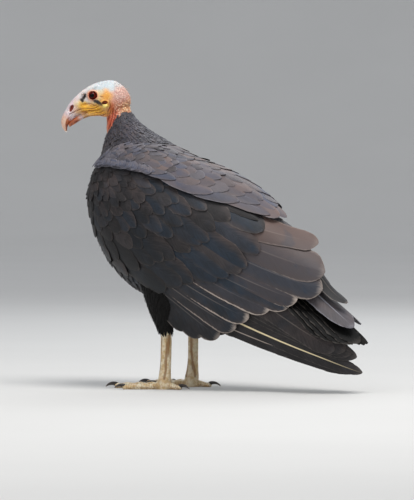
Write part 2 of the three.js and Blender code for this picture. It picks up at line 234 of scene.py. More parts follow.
def mesh_object(name, points, faces, material=None):
    """A smooth piece from its points, in metres, and arrays of faces with equally many corners in each."""
    mesh = bpy.data.meshes.new(name)
    faces = [np.asarray(f, np.int32) for f in faces if len(f)]
    corners = np.concatenate([f.ravel() for f in faces])
    sizes = np.concatenate([np.full(len(f), f.shape[1], np.int32) for f in faces])
    mesh.vertices.add(len(points))
    mesh.vertices.foreach_set("co", np.asarray(points, np.float32).ravel())
    mesh.loops.add(len(corners))
    mesh.loops.foreach_set("vertex_index", corners)
    mesh.polygons.add(len(sizes))
    mesh.polygons.foreach_set("loop_start", np.concatenate([[0], np.cumsum(sizes)[:-1]]).astype(np.int32))
    mesh.polygons.foreach_set("use_smooth", np.ones(len(sizes), bool))
    mesh.update(calc_edges=True)
    if material:
        mesh.materials.append(material)
    return linked(name, mesh)


def tube_quads(rings, sides, closed=False):
    """The quads of a tube whose points come ring by ring. A closed one joins its last ring to its first."""
    i, k = np.meshgrid(np.arange(rings if closed else rings - 1), np.arange(sides), indexing="ij")
    below, after = (i + 1) % rings, (k + 1) % sides
    quads = [i * sides + k, below * sides + k, below * sides + after, i * sides + after]
    return np.stack(quads, -1).reshape(-1, 4)


def ring_faces(rings, sides):
    """The quads of a tube, and the caps that close it on the two end points that come after its rings."""
    k, first, end = np.arange(sides), rings * sides, (rings - 1) * sides
    after = (k + 1) % sides
    top = np.stack([np.full(sides, first), k, after], -1)
    bottom = np.stack([np.full(sides, first + 1), end + after, end + k], -1)
    return [tube_quads(rings, sides), np.concatenate([top, bottom])]


BOWL_FLOOR, BOWL_CURVE, BOWL_WALL = 7.0, 4.0, 4.5
profile = [(BOWL_FLOOR * t, 0) for t in (0.002, 0.02, 0.1, 0.3, 0.6, 1)]
profile += [(BOWL_FLOOR + BOWL_CURVE * math.sin(a), BOWL_CURVE * (1 - math.cos(a)))
            for a in np.linspace(0.1, math.pi / 2, 14)]
profile.append((BOWL_FLOOR + BOWL_CURVE, BOWL_WALL))
around = np.linspace(0, 2 * math.pi, 96, endpoint=False)
bowl_points = [(r * math.cos(a), r * math.sin(a), z) for r, z in profile for a in around]
walls, caps = ring_faces(len(profile), len(around))
# The cap over the middle of the floor is kept, and the bowl stays open at the top.
bowl_faces = [walls, caps[: len(around)]]
bowl = mesh_object("studio_bowl", bowl_points + [(0, 0, 0)], bowl_faces, bowl_paint.material)

# ---- Skin ----
# The living body under the plumage: bare and wrinkled on the head and neck, scaly on the legs and toes, and
# plain where feathers cover it. It is one closed skin. The head is built up like clay, from a skull, a jaw, a
# neck, lids, cheeks and ears, and then wrinkled.
SKULL_KEYS = [
    (-14, 375, 4, 4, 5), (-11, 375, 10, 8.8, 14), (-3.5, 375.5, 16, 17.5, 21), (9, 376, 19.3, 24, 23),
    (22, 375.5, 19.2, 23.3, 21), (35, 373, 16.5, 20.3, 15.5), (47, 369, 12.8, 15.5, 11),
    (57, 363.5, 10.3, 11.3, 9.5), (64, 357, 8.8, 8.4, 8.6), (69.5, 350, 7.4, 6.4, 7),
    (71.3, 343, 5.4, 5, 4.6), (70.8, 337.5, 3.2, 3, 2.4), (69.3, 332.6, 0.9, 0.8, 0.8),
]
JAW_KEYS = [
    (4, 362, 12, 8, 8), (16, 359.5, 13, 7, 7.4), (28, 358.5, 11, 5, 5), (40, 356, 8.6, 3.6, 3.4),
    (51, 351.4, 6.6, 4.6, 3.2), (60, 346.2, 5.2, 4.0, 3.4), (67, 341, 3.0, 2.6, 2.4),
]
BODY_KEYS = [
    (-90, 366, 13, 14, 14), (-89, 350, 17.5, 18.5, 17.5), (-83, 333, 24, 25, 25), (-72, 314, 38, 33, 46),
    (-56, 290, 53, 46, 72), (-36, 259, 64, 58, 96), (-10, 230, 68, 66, 109), (24, 207, 68, 70, 105),
    (62, 188, 60, 68, 84), (100, 170, 45, 54, 46), (134, 150, 30, 38, 30), (162, 130, 17, 22, 18),
    (180, 116, 7, 8, 8),
]
BODY_FULLNESS = 2.3
COAT_DEPTH = 6
HORN_EDGE = ((66.6, 354.7), (0.69, -0.72))  # where the horn of the bill begins: a point and the way ahead
CHIN_EDGE = ((49, 352), (0.9, -0.43))


TO_RIGHT = (-1, 0, 0)  # the way that the sections of a loft open, where it runs forwards


def in_middle(keys):
    return [(0, *key) for key in keys]


def headed(keys):
    return [(0, -ahead, *rest) for ahead, *rest in keys]


def row_at(keys, share):
    """Smooth rows of numbers at shares of the way along the keys."""
    keys = np.asarray(keys, float)
    span = np.atleast_1d(share) * (len(keys) - 1)
    i = np.clip(span.astype(int), 0, len(keys) - 2)
    s = (span - i)[:, None]
    a, b, c, d = (keys[np.clip(i + k, 0, len(keys) - 1)] for k in (-1, 0, 1, 2))
    return 0.5 * (2 * b + (c - a) * s + (2 * a - 5 * b + 4 * c - d) * s**2 + (3 * b - a - 3 * c + d) * s**3)


def unit(vectors):
    return vectors / np.maximum(np.linalg.norm(vectors, axis=-1, keepdims=True), 1e-9)


def turned(a, b, angle):
    """Both coordinates of points turned by an angle, from the first axis towards the second."""
    c, s = math.cos(angle), math.sin(angle)
    return c * a - s * b, s * a + c * b


def loft_grid(keys, rings, sides, fullness=2.0, side=(1, 0, 0)):
    """Rings of points round oval sections. Each key is x, y, z, half width, upper depth and lower depth."""
    rows = row_at(keys, np.linspace(0, 1, rings))
    tangent = unit(np.gradient(rows[:, :3], axis=0))
    side = np.array(side, float)
    upward = unit(np.cross(side, tangent))[:, None]
    angle = 2 * math.pi * np.arange(sides) / sides
    bulge = [np.sign(v) * np.abs(v) ** (2 / fullness) for v in (np.cos(angle), np.sin(angle))]
    depth = np.where(np.sin(angle) > 0, rows[:, 4:5], rows[:, 5:6])
    across = (rows[:, 3:4] * bulge[0])[..., None]
    return rows[:, None, :3] + side * across + upward * (depth * bulge[1])[..., None]


def from_head(points):
    """The bird's frame, from the head's own: x to its left, y behind its pivot and z above the floor."""
    points = np.asarray(points, float)
    x, y = turned(points[..., 0], points[..., 1], HEAD_YAW)
    return np.stack([x, HEAD_PIVOT_Y + y, points[..., 2]], -1)


def to_head(points):
    points = np.asarray(points, float) - (0, HEAD_PIVOT_Y, 0)
    return np.stack([*turned(points[..., 0], points[..., 1], -HEAD_YAW), points[..., 2]], -1)


def beside_head(points):
    """How far points lie ahead of the head's pivot, to either side of its middle and above the floor."""
    head = to_head(points)
    return -head[:, 1], np.abs(head[:, 0]), head[:, 2]


def shell_of(grid):
    """A closed tube's points and faces, from its rings."""
    rings, sides = grid.shape[:2]
    ends = [grid[0].mean(0), grid[-1].mean(0)]
    return np.concatenate([grid.reshape(-1, 3), ends]), ring_faces(rings, sides)


def clay(name, *shells):
    """Closed shells, each a pair of points in millimetres and faces, as one object; normals turned out."""
    points, faces, start = [], [], 0
    for shell_points, shell_faces in shells:
        points.append(shell_points)
        faces += [np.asarray(f) + start for f in shell_faces]
        start += len(shell_points)
    piece = mesh_object(name, metres(np.concatenate(points)), faces)
    work = bmesh.new()
    work.from_mesh(piece.data)
    bmesh.ops.recalc_face_normals(work, faces=work.faces)
    work.to_mesh(piece.data)
    work.free()
    return piece


def ball(middle, radii, tilt=0.0):
    """An egg-shaped lump in the head's frame; tilt lifts its front end."""
    a = np.linspace(0.04, math.pi - 0.04, 16)[:, None]
    b = (2 * math.pi * np.arange(20) / 20)[None]
    back, up = turned(-(np.cos(a) + 0 * b) * radii[0], np.sin(a) * np.sin(b) * radii[2], -tilt)
    grid = np.stack([np.sin(a) * np.cos(b) * radii[1], back, up], -1)
    ahead, left, height = middle
    return shell_of(from_head(grid + (left, -ahead, height)))


def hoop(middle, radii, thick, tilt=0.0, lean=0.0):
    """A rounded ring that lies against the side of the head, in its frame. lean turns its face forwards."""
    a = (2 * math.pi * np.arange(40) / 40)[:, None]
    b = (2 * math.pi * np.arange(10) / 10)[None]
    ahead, up = (radius + thick * np.cos(b) for radius in radii)
    ahead, up = turned(ahead * np.cos(a), up * np.sin(a), tilt)
    left = thick * np.sin(b) - math.tan(lean) * ahead
    middle_ahead, side, height = middle
    grid = np.stack([side + math.copysign(1, side) * left, -(middle_ahead + ahead), height + up], -1)
    return from_head(grid.reshape(-1, 3)), [tube_quads(40, 10, closed=True)]


def as_modified(piece):
    """The mesh that a piece's modifiers make of it."""
    return bpy.data.meshes.new_from_object(piece.evaluated_get(bpy.context.evaluated_depsgraph_get()))


def remeshed(piece, voxel):
    """The clay pressed into one even skin, as a mesh with edges about a voxel long."""
    press = piece.modifiers.new("press", "REMESH")
    press.mode, press.voxel_size, press.use_smooth_shade = "VOXEL", voxel / 1000, True
    even = piece.modifiers.new("even", "SMOOTH")
    even.factor, even.iterations = 0.5, 3
    made = as_modified(piece)
    bpy.data.objects.remove(piece)
    return made


def at_vertices(mesh, what):
    found = np.empty(len(mesh.vertices) * 3, np.float32)
    mesh.vertices.foreach_get(what, found)
    return found.reshape(-1, 3).astype(float)


def points_of(mesh):
    return at_vertices(mesh, "co") * 1000 - BIRD_PLACE


def join_shells(*meshes):
    """Meshes cut into one closed mesh with nothing inside it."""
    whole, *others = [linked("shell", mesh) for mesh in meshes]
    for other in others:
        add = whole.modifiers.new("add", "BOOLEAN")
        add.operation, add.solver, add.object = "UNION", "MANIFOLD", other
    made = as_modified(whole)
    for piece in (whole, *others):
        bpy.data.objects.remove(piece)
    return made


def past(rings, edge):
    """How far each ring of a loft lies ahead of an edge across the bill."""
    (ahead, height), (way_ahead, way_up) = edge
    middle = rings.mean(1)
    return (-middle[:, 1] - ahead) * way_ahead + (middle[:, 2] - height) * way_up


def cut_at(mesh, point, ahead):
    """Takes off what lies ahead of a plane in the head's own frame, and closes the cut."""
    middle = Vector(metres(from_head((0, -point[0], point[1]))))
    tip = Vector(metres(from_head((0, -point[0] - ahead[0], point[1] + ahead[1]))))
    work = bmesh.new()
    work.from_mesh(mesh)
    bmesh.ops.bisect_plane(work, geom=[*work.verts, *work.edges, *work.faces], plane_co=middle,
                           plane_no=(tip - middle).normalized(), clear_outer=True, dist=1e-7)
    bmesh.ops.holes_fill(work, edges=[e for e in work.edges if e.is_boundary])
    bmesh.ops.triangulate(work, faces=[f for f in work.faces if len(f.verts) > 4])
    work.to_mesh(mesh)
    work.free()
    return mesh


def smooth_step(values, low, high):
    """0 up to low, 1 from high on and smooth between; it falls instead where low is above high."""
    t = np.clip((values - low) / (high - low), 0, 1)
    return t * t * (3 - 2 * t)


def spot(ahead, height, middle, radii, tilt=0.0, soft=0.35):
    """1 inside an oval on the side of the head and 0 outside it, with a soft edge; tilt lifts its front."""
    a, h = turned(ahead - middle[0], height - middle[1], -tilt)
    return 1 - smooth_step(np.hypot(a / radii[0], h / radii[1]), 1 - soft, 1 + soft)


def groove(ahead, height, line, width):
    """1 along a line on the side of the head, fading out over its width, and at the line's ends."""
    deepest = np.zeros(len(ahead))
    stretches = len(line) - 1
    for n, ((a0, h0), (a1, h1)) in enumerate(zip(line, line[1:])):
        da, dh = a1 - a0, h1 - h0
        t = np.clip(((ahead - a0) * da + (height - h0) * dh) / (da * da + dh * dh), 0, 1)
        away = np.hypot(ahead - a0 - t * da, height - h0 - t * dh)
        along = (n + t) / stretches
        taper = 0.35 + 0.65 * np.sin(math.pi * np.clip(along, 0.02, 0.98)) ** 0.5
        deepest = np.maximum(deepest, np.exp(-((away / (width * taper)) ** 2)) * taper)
    return deepest


def mottle(points, size, octaves=2, seed=0.0):
    """Smooth noise of about -1 to 1 at points in millimetres; size is that of its patches."""
    offset = (seed, 3.7 * seed, -1.9 * seed)
    scaled = np.asarray(points, float) / size + offset
    return np.array([noise.fractal(Vector(p), 1.0, 2.0, octaves) for p in scaled])


def cells(points, size, seed):
    """How far points are from the nearest and the next nearest of seeds strewn size millimetres apart."""
    scaled = np.asarray(points, float) / size + seed
    return np.array([noise.voronoi(Vector(p))[0][:2] for p in scaled]).T


def pebbles(points, size, seed):
    """Rounded grains: 1 in the middle of each, falling to 0 in the cracks between them."""
    near, next_near = cells(points, size, seed)
    return np.clip((next_near - near) * 1.6, 0, 1)


def warts(points, size, seed):
    """Round warts: 1 at the top of each, falling to 0 at its foot, with plain ground between them."""
    return np.clip(1.15 - (cells(points, size, seed)[0] / 0.5) ** 2, 0, 1)


EAR_AT, EAR_SIZE = (18.9, 371.0), (3.0, 1.6)
LOBE_AT = (18.6, 366.6)
NOSTRIL_AT, NOSTRIL_SIZE, NOSTRIL_TILT = (63.2, 363.6), (2.4, 5.3), math.radians(26)
skull = shell_of(from_head(loft_grid(headed(SKULL_KEYS), 90, 72, side=TO_RIGHT)))
jaw_rings = loft_grid(headed(JAW_KEYS), 60, 48, side=TO_RIGHT)
jaw = shell_of(from_head(jaw_rings[past(jaw_rings, CHIN_EDGE) < 0.4]))


def skull_side(ahead, height):
    """How far out the skull's side is, at a place seen from the side."""
    keys = np.array(SKULL_KEYS, float)
    rows = row_at(np.abs(keys[:10]), np.linspace(0, 1, 200))
    middle, half, up, down = rows[np.argmin(np.abs(rows[:, 0] - ahead)), 1:]
    depth = (height - middle) / (up if height > middle else down)
    return half * math.sqrt(max(1 - depth * depth, 0))


neck_keys = [(y, z, w - inset, up - inset, down - inset) for (y, z, w, up, down), inset in
             zip(BODY_KEYS[:5], (0.3, 0.3, 1.5, 7, 9))]
lumps = [skull, jaw, shell_of(loft_grid(in_middle(neck_keys), 40, 72, fullness=2.1))]
eye_side, ear_side = skull_side(EYE_AHEAD, EYE_HEIGHT), skull_side(*EAR_AT)
for s in (1, -1):
    # Lids: two soft rings round the eye, the outer one broader.
    lumps.append(hoop((EYE_AHEAD, s * (eye_side + 0.5), EYE_HEIGHT), (6.3, 5.9), 1.15, lean=0.16))
    lumps.append(ball((EYE_AHEAD + 0.6, s * (eye_side - 3.4), EYE_HEIGHT + 0.4), (8.6, 5.0, 7.8)))
    # A low brow over the eye, and the swelling of the lore in front of it.
    lumps.append(ball((EYE_AHEAD + 4, s * 10.6, EYE_HEIGHT + 7.0), (13, 4.6, 4.2), tilt=-0.5))
    lumps.append(ball((52, s * 7.6, 369.6), (9, 4.0, 5.6), tilt=-0.45))
    # The cheek's fleshy folds, from the corner of the gape to the ear.
    lumps.append(ball((33, s * 11.2, 364.4), (17.5, 4.4, 5.6), tilt=-0.06))
    lumps.append(ball((29, s * 9.6, 357.8), (15, 4.2, 4.2), tilt=-0.12))
    # The ear: a ring round its opening and a lobe of skin hanging below.
    lumps.append(hoop((EAR_AT[0], s * (ear_side + 0.35), EAR_AT[1]), (4.3, 2.9), 0.85, tilt=-0.1))
    lumps.append(ball((LOBE_AT[0], s * (ear_side + 0.3), LOBE_AT[1]), (3.6, 2.4, 2.9), tilt=-0.1))
    # The nostril's raised rim.
    lumps.append(hoop((NOSTRIL_AT[0], s * 7.6, NOSTRIL_AT[1]), (2.7, 5.1), 0.8, tilt=NOSTRIL_TILT, lean=0.3))
# The throat's fold of skin, between the jaw and the ruff.
lumps.append(ball((8.5, 0, 349), (8.5, 11, 15), tilt=0.1))
HEAD_VOXEL = 0.65
head_mesh = remeshed(clay("head_clay", *lumps), HEAD_VOXEL)

# The ruff's edge, where the bare skin of the neck ends: it runs from under the throat up to the nape.
RUFF_EDGE = ((14.2, 333), (5.2, 349), (-5.4, 358), (-19, 360))
# Creases on the side of the head, each a line of places ahead of the pivot and above the floor, its width and
# its depth: the folds of the yellow cheek, the corner of the gape, the lids' corners and the jaw's edge.
CREASES = [
    (((50, 367.6), (43.6, 369.4), (37, 369.4), (31, 367.4)), 0.9, 0.7),
    (((46, 362.9), (37.7, 362.9), (32, 364.0), (24.7, 367)), 0.9, 0.8),
    (((48.5, 358.8), (40.3, 360.0), (29.9, 360.7), (22, 363.4)), 0.85, 0.9),
    (((38, 356.8), (26.5, 357.8), (18, 361.6)), 1.0, 0.8),
    (((42, 366.0), (35, 366.2), (28, 369.0)), 0.7, 0.35),
    (((36, 354.0), (24, 353.6), (14, 357.0)), 1.1, 0.7),
    (((44.2, 381.0), (46.6, 382.4), (49.4, 381.6)), 0.7, 0.35),
    (((26.6, 379.4), (23.4, 378.0), (20.5, 378.6)), 0.8, 0.4),
    (((12.5, 374), (11.8, 366), (14.6, 360), (15.5, 352)), 1.2, 0.8),
]
GAPE = ((72, 352.5), (67.5, 354.6), (61.5, 357.6), (54.0, 361.0), (48.5, 363.2), (44.6, 363.9))


def ruff_drop(points):
    """Distance in millimetres below the edge of the ruff, negative on the bare skin above it."""
    ahead, _, height = beside_head(points)
    drops = []
    for (a0, h0), (a1, h1) in zip(RUFF_EDGE, RUFF_EDGE[1:]):
        drops.append(-((a1 - a0) * (h1 - height) - (h1 - h0) * (a1 - ahead)) / math.hypot(a1 - a0, h1 - h0))
    return np.min(drops, 0)


def sculpt(points, normals):
    """Moves the head's points out and in. For the paint it also gives how far each lies in a crease and in
    the nostril and the ear, which are darkened there as painted shade, and how high on a wart it is.
    """
    ahead, side, height = beside_head(points)
    flank = smooth_step(side, 2.0, 5.0)
    bare = 1 - smooth_step(ruff_drop(points), -1.0, 3.0)
    drift = np.stack([mottle(points, 7.0, 2, 3.1), mottle(points, 7.0, 2, 8.4)], -1) * 0.8
    a, h = ahead + drift[:, 0], height + drift[:, 1]
    move, crease_shade = np.zeros((2, len(points)))
    for line, width, depth in CREASES:
        cut = groove(a, h, line, width) * flank
        move -= depth * cut
        crease_shade = np.maximum(crease_shade, cut)
    gape = groove(ahead, height, GAPE, 0.8) * flank
    move -= 1.3 * gape
    crease_shade = np.maximum(crease_shade, gape)
    # The nostril is a slot right through the bill, and the ear a deep oval hole.
    wide, along = turned(ahead - NOSTRIL_AT[0], height - NOSTRIL_AT[1], -NOSTRIL_TILT)
    slot = 1 - smooth_step(np.hypot(along / NOSTRIL_SIZE[1], wide / NOSTRIL_SIZE[0]), 0.6, 1.15)
    ear = spot(ahead, height, EAR_AT, EAR_SIZE, -0.1, 0.4)
    orbit = spot(ahead, height, (EYE_AHEAD, EYE_HEIGHT), (5.1, 4.9), 0, 0.12) * smooth_step(side, 8, 11)
    move -= 4.2 * slot * flank + 3.2 * ear + 4.5 * orbit
    # Papery cross wrinkles on the crown and the lore, warts on the nape that grow towards the ruff, and folds
    # down the throat.
    nape = smooth_step(ahead, 13, 4) * bare
    throat = spot(ahead, height, (9, 346), (9, 17), 0.1, 0.5)
    crown = smooth_step(height, 380, 386) * smooth_step(ahead, 58, 48) * (1 - nape)
    lore = smooth_step(ahead, 40, 50) * (1 - slot)
    wave = np.sin(1.35 * (a + 0.35 * h) + 2.2 * mottle(points, 9.0, 2, 1.7))
    move += 0.09 * crown * wave + 0.06 * lore * wave
    grain = pebbles(points * (1, 1, 0.8), 2.1, 5.0)
    low_nape = nape * smooth_step(height + 0.5 * ahead, 374, 362)
    wart = np.where(low_nape > 0.5, warts(points, 2.7, 1.0), warts(points, 1.9, 7.0))
    warty = np.maximum(nape, 0.7 * throat * smooth_step(ahead, 16, 10)) * bare
    move += warty * (0.4 + 0.6 * low_nape) * (wart - 0.3)
    ropes = np.sin(1.55 * (ahead + 0.25 * (height - 350)) + 2.6 * mottle(points * (1, 1, 0.5), 8.0, 2, 6.0))
    move += throat * bare * (0.55 * ropes + 0.25 * (grain - 0.4))
    cheek = spot(ahead, height, (33, 362.5), (20, 9), -0.08)
    move += 0.16 * cheek * mottle(points, 2.2, 2, 4.0) * flank
    rough = np.maximum(throat * smooth_step(ropes, 0.2, -0.9), 0.55 * warty * (1 - wart))
    crease_shade = np.maximum(crease_shade, rough * bare)
    move += 0.05 * mottle(points, 1.6, 1, 2.0) * bare
    hole_shade = np.maximum(slot * flank, 0.9 * ear)
    return points + normals * move[:, None], crease_shade, hole_shade, wart * warty


head_points, head_crease_shade, head_hole_shade, on_wart = sculpt(points_of(head_mesh), at_vertices(head_mesh, "normal"))


def move_to(mesh, points):
    mesh.vertices.foreach_set("co", metres(points).astype(np.float32).ravel())
    mesh.update()


def carry(mesh, name, values):
    """Gives the mesh a number at each point, for its paint to read."""
    layer = mesh.attributes.get(name) or mesh.attributes.new(name, "FLOAT", "POINT")
    layer.data.foreach_set("value", np.asarray(values, np.float32))


# Where each colour of the head lies, as an oval seen from the side: middle, radii and tilt.
HEAD_ZONES = {
    "blue": [((13, 394), (20, 9), 0), ((27, 388.5), (13, 6), 0)],
    "lilac": [((60, 367), (11, 12), 0.6), ((50, 353), (13, 4), -0.3)],
    "straw": [((27, 378.5), (8, 8), 0), ((50, 369), (8, 5), 0.3)],
    "yolk": [((36, 362.6), (20, 8.6), -0.05), ((45, 366.5), (8, 5.5), 0.2), (LOBE_AT, (5.0, 3.2), -0.1)],
    "amber": [((16.8, 379.6), (7.4, 8), 0), ((24, 356), (11, 4.5), -0.2), ((19, 372), (7.5, 6.5), 0)],
    "coral": [((-7, 373), (16, 17), 0.4), ((10, 350), (12, 18), 0.2), ((6, 338), (18, 22), 0),
              ((-12, 352), (18, 14), 0), ((5, 366), (9.5, 16), 0)],
    "brick": [((9.5, 347), (6.5, 13), 0.15), ((10.5, 362), (3.4, 9), 0)],
    # A band of painted shade along the jaw's lower edge, where it turns under.
    "jaw_shade": [((46, 350.5), (14, 2.6), -0.3)],
    "rose": [((-2, 381), (11, 9), -0.5)],
    "cream": [((-10, 365), (11, 6.5), -0.6)],
    "lobe": [(LOBE_AT, (3.6, 2.6), -0.1)],
    "ring": [((EYE_AHEAD, EYE_HEIGHT), (7.6, 7.3), 0)],
    "lid": [((EYE_AHEAD, EYE_HEIGHT), (5.7, 5.4), 0)],
    "soot": [((46.6, 378.0), (1.7, 5.4), 0.45), ((48.8, 374.4), (2.4, 2.2), 0.0),
             ((28.3, 371.7), (6.6, 2.1), 0.48)],
}
# How far the edges of a zone wander, in shares of the drift, and how soft they are; and the zones that run on
# over the middle of the head.
LOOSE_EDGE, SHARP_EDGE = (1.2, 0.6), (0.35, 0.3)
ZONE_EDGES = {"soot": (0.7, 0.5), "ring": SHARP_EDGE, "lid": SHARP_EDGE, "lobe": SHARP_EDGE}
ROUND_ZONES = ("blue", "coral", "cream", "rose")
DRIFT_ABOVE = 310


def colour_zones(mesh, points):
    ahead, side, height = beside_head(points)
    bare = height > DRIFT_ABOVE
    drift = np.zeros((2, len(points)))
    drift[:, bare] = [1.6 * mottle(points[bare], 6.0, 3, seed) for seed in (2.5, 9.5)]
    for name, ovals in HEAD_ZONES.items():
        loose, soft = ZONE_EDGES.get(name, LOOSE_EDGE)
        a, h = ahead + loose * drift[0], height + loose * drift[1]
        shade = np.max([spot(a, h, *oval, soft) for oval in ovals], 0)
        carry(mesh, name, shade if name in ROUND_ZONES else shade * smooth_step(side, 1.0, 5.0))


move_to(head_mesh, head_points)
for name, values in (("crease_shade", head_crease_shade), ("wart", on_wart), ("hole_shade", head_hole_shade)):
    carry(head_mesh, name, values)
cut_at(head_mesh, *HORN_EDGE)

# The trunk, the folded arms and the thighs are plain lofts, a coat's depth inside the plumage.
ENVELOPE_KEYS = [
    (-92, 304, 44, 12, 26), (-76, 292, 69, 33, 60), (-52, 268, 76, 52, 86), (-20, 236, 81, 71, 103),
    (20, 207, 82, 85, 103), (62, 184, 76, 90, 104), (104, 160, 64, 87, 104), (146, 134, 51, 80, 95),
    (188, 106, 39, 75, 80), (230, 78, 29, 62, 58), (272, 48, 21, 42, 36), (300, 28, 16, 26, 22),
]
ENVELOPE_FULLNESS = 2.5
THIGH_KEYS = [
    (36, 4, 160, 26, 36, 40), (37, 2, 132, 24, 32, 34), (37, 0, 106, 18, 21, 22), (36, 1, 84, 11.5, 12.5, 13),
    (35, 2, 70, 7.8, 8.2, 8.2), (35, 2, 62, 5.8, 6.0, 6.0),
]
SHANK_KEYS = [
    (35, 2.2, 76, 6.0, 6.6, 6.6), (35, 2, 60, 6.1, 7.0, 6.8), (35, 1.4, 40, 6.0, 7.1, 6.8),
    (35, 0.6, 24, 6.8, 7.6, 7.4), (35, 0, 13, 8.6, 8.6, 9), (35, -0.4, 4, 9.6, 9, 10.4),
    (35, -0.4, -4, 8, 8, 8),
]
# Toes by name: bearing from straight ahead, outwards positive; length; radius at the base; joints; claw.
TOES = {
    "middle": (4, 71, 5.0, 4, 18), "inner": (-24, 50, 4.6, 3, 17), "outer": (34, 54, 4.4, 4, 14),
    "hind": (172, 27, 4.2, 2, 17),
}
TOE_TAPER, TOE_SCALE, SHANK_SCALE = 0.3, 3.3, 4.2
LEG_SPREAD, FOOT_BACK = 35, -0.4
# The front edge of the folded wing, from the shoulder down to the tip of the hand.
ARM_KEYS = [
    (52, -40, 290, 7, 12, 8), (58, -68, 284, 8, 18, 11), (57, -87, 258, 8, 22, 13), (57, -84, 232, 8, 22, 12),
    (58, -72, 206, 7.5, 20, 11), (57, -52, 180, 7, 18, 10), (54, -28, 156, 6.5, 14, 9),
    (50, 0, 134, 5.5, 12, 8), (46, 24, 119, 4, 9, 6),
]
RIGHT_WING_SHIFT = (0, -20, 0)


def thinned(keys, depths):
    """The keys with a depth taken off each of their radii."""
    return [(*key[:-3], *(max(r - d, 2) for r in key[-3:])) for key, d in zip(keys, depths)]


def mirrored(grid):
    return grid * (-1, 1, 1)


trunk_grid = loft_grid(in_middle(thinned(BODY_KEYS, [0, 0, 1, 6, 7] + [COAT_DEPTH] * 8)), 60, 64,
                       fullness=BODY_FULLNESS)[16:]
thigh_grid = loft_grid(thinned(THIGH_KEYS, (7, 6, 5, 3.4, 1.6, 0.4)), 30, 40)
arm_grid = loft_grid(thinned(ARM_KEYS, [2.2] * len(ARM_KEYS)), 50, 36)
limbs = (thigh_grid, mirrored(thigh_grid), arm_grid, mirrored(arm_grid) + RIGHT_WING_SHIFT)
flesh = [clay("flesh_clay", shell_of(grid)).data for grid in (trunk_grid, *limbs)]


def toe_keys(length, radius, joints):
    """Sections along a toe: it swells over each joint and tapers to the claw."""
    keys, steps = [], joints * 6
    for i in range(steps + 1):
        t = i / steps
        swell = 1 + 0.1 * math.cos(2 * math.pi * joints * t)
        r = radius * (1 - TOE_TAPER * t) * swell * (0.75 if i == steps else 1)
        keys.append((0, -length * t, 0.72 * r + 0.4 * math.sin(math.pi * t), 0.92 * r, r, r))
    return keys


def at_foot(points, bearing):
    """The bird's frame, from a toe's own, which runs towards -Y from the left foot's middle."""
    x, y = turned(points[..., 0], points[..., 1], math.radians(bearing))
    return np.stack([LEG_SPREAD + x, FOOT_BACK + y, points[..., 2]], -1)


# The web of skin between the foot and a toe's first joint.
WEB_KEYS = [(0, 2, 5, 7.4, 6, 5), (0, -8, 4.2, 6.4, 5, 5), (0, -16, 3.4, 3.6, 3, 3)]
foot_lumps = [shell_of(loft_grid(SHANK_KEYS, 60, 40))]
for bearing, length, radius, joints, _ in TOES.values():
    for keys, rings in ((toe_keys(length, radius, joints), 6 * joints + 1), (WEB_KEYS, 12)):
        foot_lumps.append(shell_of(at_foot(loft_grid(keys, rings, 24, side=TO_RIGHT), bearing)))
FOOT_VOXEL = 0.87
foot_mesh = remeshed(clay("foot_clay", *foot_lumps), FOOT_VOXEL)


def scaled_leg(points, normals):
    """Raises the leg's scales: small grains round the shank, and broad plates across the top of each toe."""
    x, y, z = points[:, 0] - LEG_SPREAD, points[:, 1] - FOOT_BACK, points[:, 2]
    shank = smooth_step(z, 9, 15)
    plates = np.zeros(len(points))
    for bearing, _, radius, _, _ in TOES.values():
        off, back = turned(x, y, -math.radians(bearing))
        off, along = np.abs(off), -back
        on_toe = smooth_step(off, radius * 1.5, radius * 0.9) * smooth_step(along, 8, 13)
        step = (along - 1.5 * (off / radius) ** 2) / TOE_SCALE
        ridge = np.abs((step % 1) - 0.5) * 2
        plates = np.maximum(plates, on_toe * (1 - smooth_step(ridge, 0.62, 1.0)))
    on_top = smooth_step(normals[:, 2], -0.1, 0.35)
    grain = pebbles(points * (1, 1, 0.75), 2.1, 2.0)
    toes = (1 - shank) * smooth_step(np.hypot(x, y), 9, 14)
    front = smooth_step(-normals[:, 1], 0.35, 0.8) * shank
    shield = 1 - smooth_step(np.abs(((z / SHANK_SCALE) % 1) - 0.5) * 2, 0.7, 1.0)
    relief = toes * (on_top * (0.62 * plates - 0.1) + (1 - on_top) * 0.42 * grain)
    relief += (1 - toes) * (1 - front) * 0.2 * grain + front * 0.3 * shield
    strings = np.sin(np.arctan2(x, y) * 4.0 + 0.05 * z + 1.4 * mottle(points * (1, 1, 0.15), 5.0, 2, 3.0))
    relief += 0.38 * shank * strings * smooth_step(z, 74, 62)
    # Where the scales' cracks and the shank's grooves lie, for the paint to darken as painted shade.
    crack_shade = np.where(toes * on_top > 0.5, 1 - plates, (0.5 + 0.5 * toes) * (1 - grain))
    crack_shade = np.maximum(crack_shade * 0.8, shank * smooth_step(strings, -0.1, -0.95))
    moved = points + normals * relief[:, None]
    moved[:, 2] = np.maximum(moved[:, 2], 0)
    return moved, crack_shade


leg_points, leg_crack_shade = scaled_leg(points_of(foot_mesh), at_vertices(foot_mesh, "normal"))
move_to(foot_mesh, leg_points)
right_foot = foot_mesh.copy()
move_to(right_foot, mirrored(leg_points))
right_foot.flip_normals()
for mesh in (foot_mesh, right_foot):
    carry(mesh, "crease_shade", leg_crack_shade * 0.8)
for piece in list(bpy.data.objects):
    if "_clay" in piece.name:
        bpy.data.objects.remove(piece)
skin_mesh = join_shells(head_mesh, *flesh, foot_mesh, right_foot)
skin_points = points_of(skin_mesh)
colour_zones(skin_mesh, skin_points)
ahead, height, drop = -to_head(skin_points)[:, 1], skin_points[:, 2], ruff_drop(skin_points)
carry(skin_mesh, "fuzz", smooth_step(ahead, 6, -6) * smooth_step(drop, -1, -4))
carry(skin_mesh, "leg", smooth_step(height, 86, 80))
carry(skin_mesh, "plume", smooth_step(drop, -0.5, 2.0) * smooth_step(height, 76, 82))
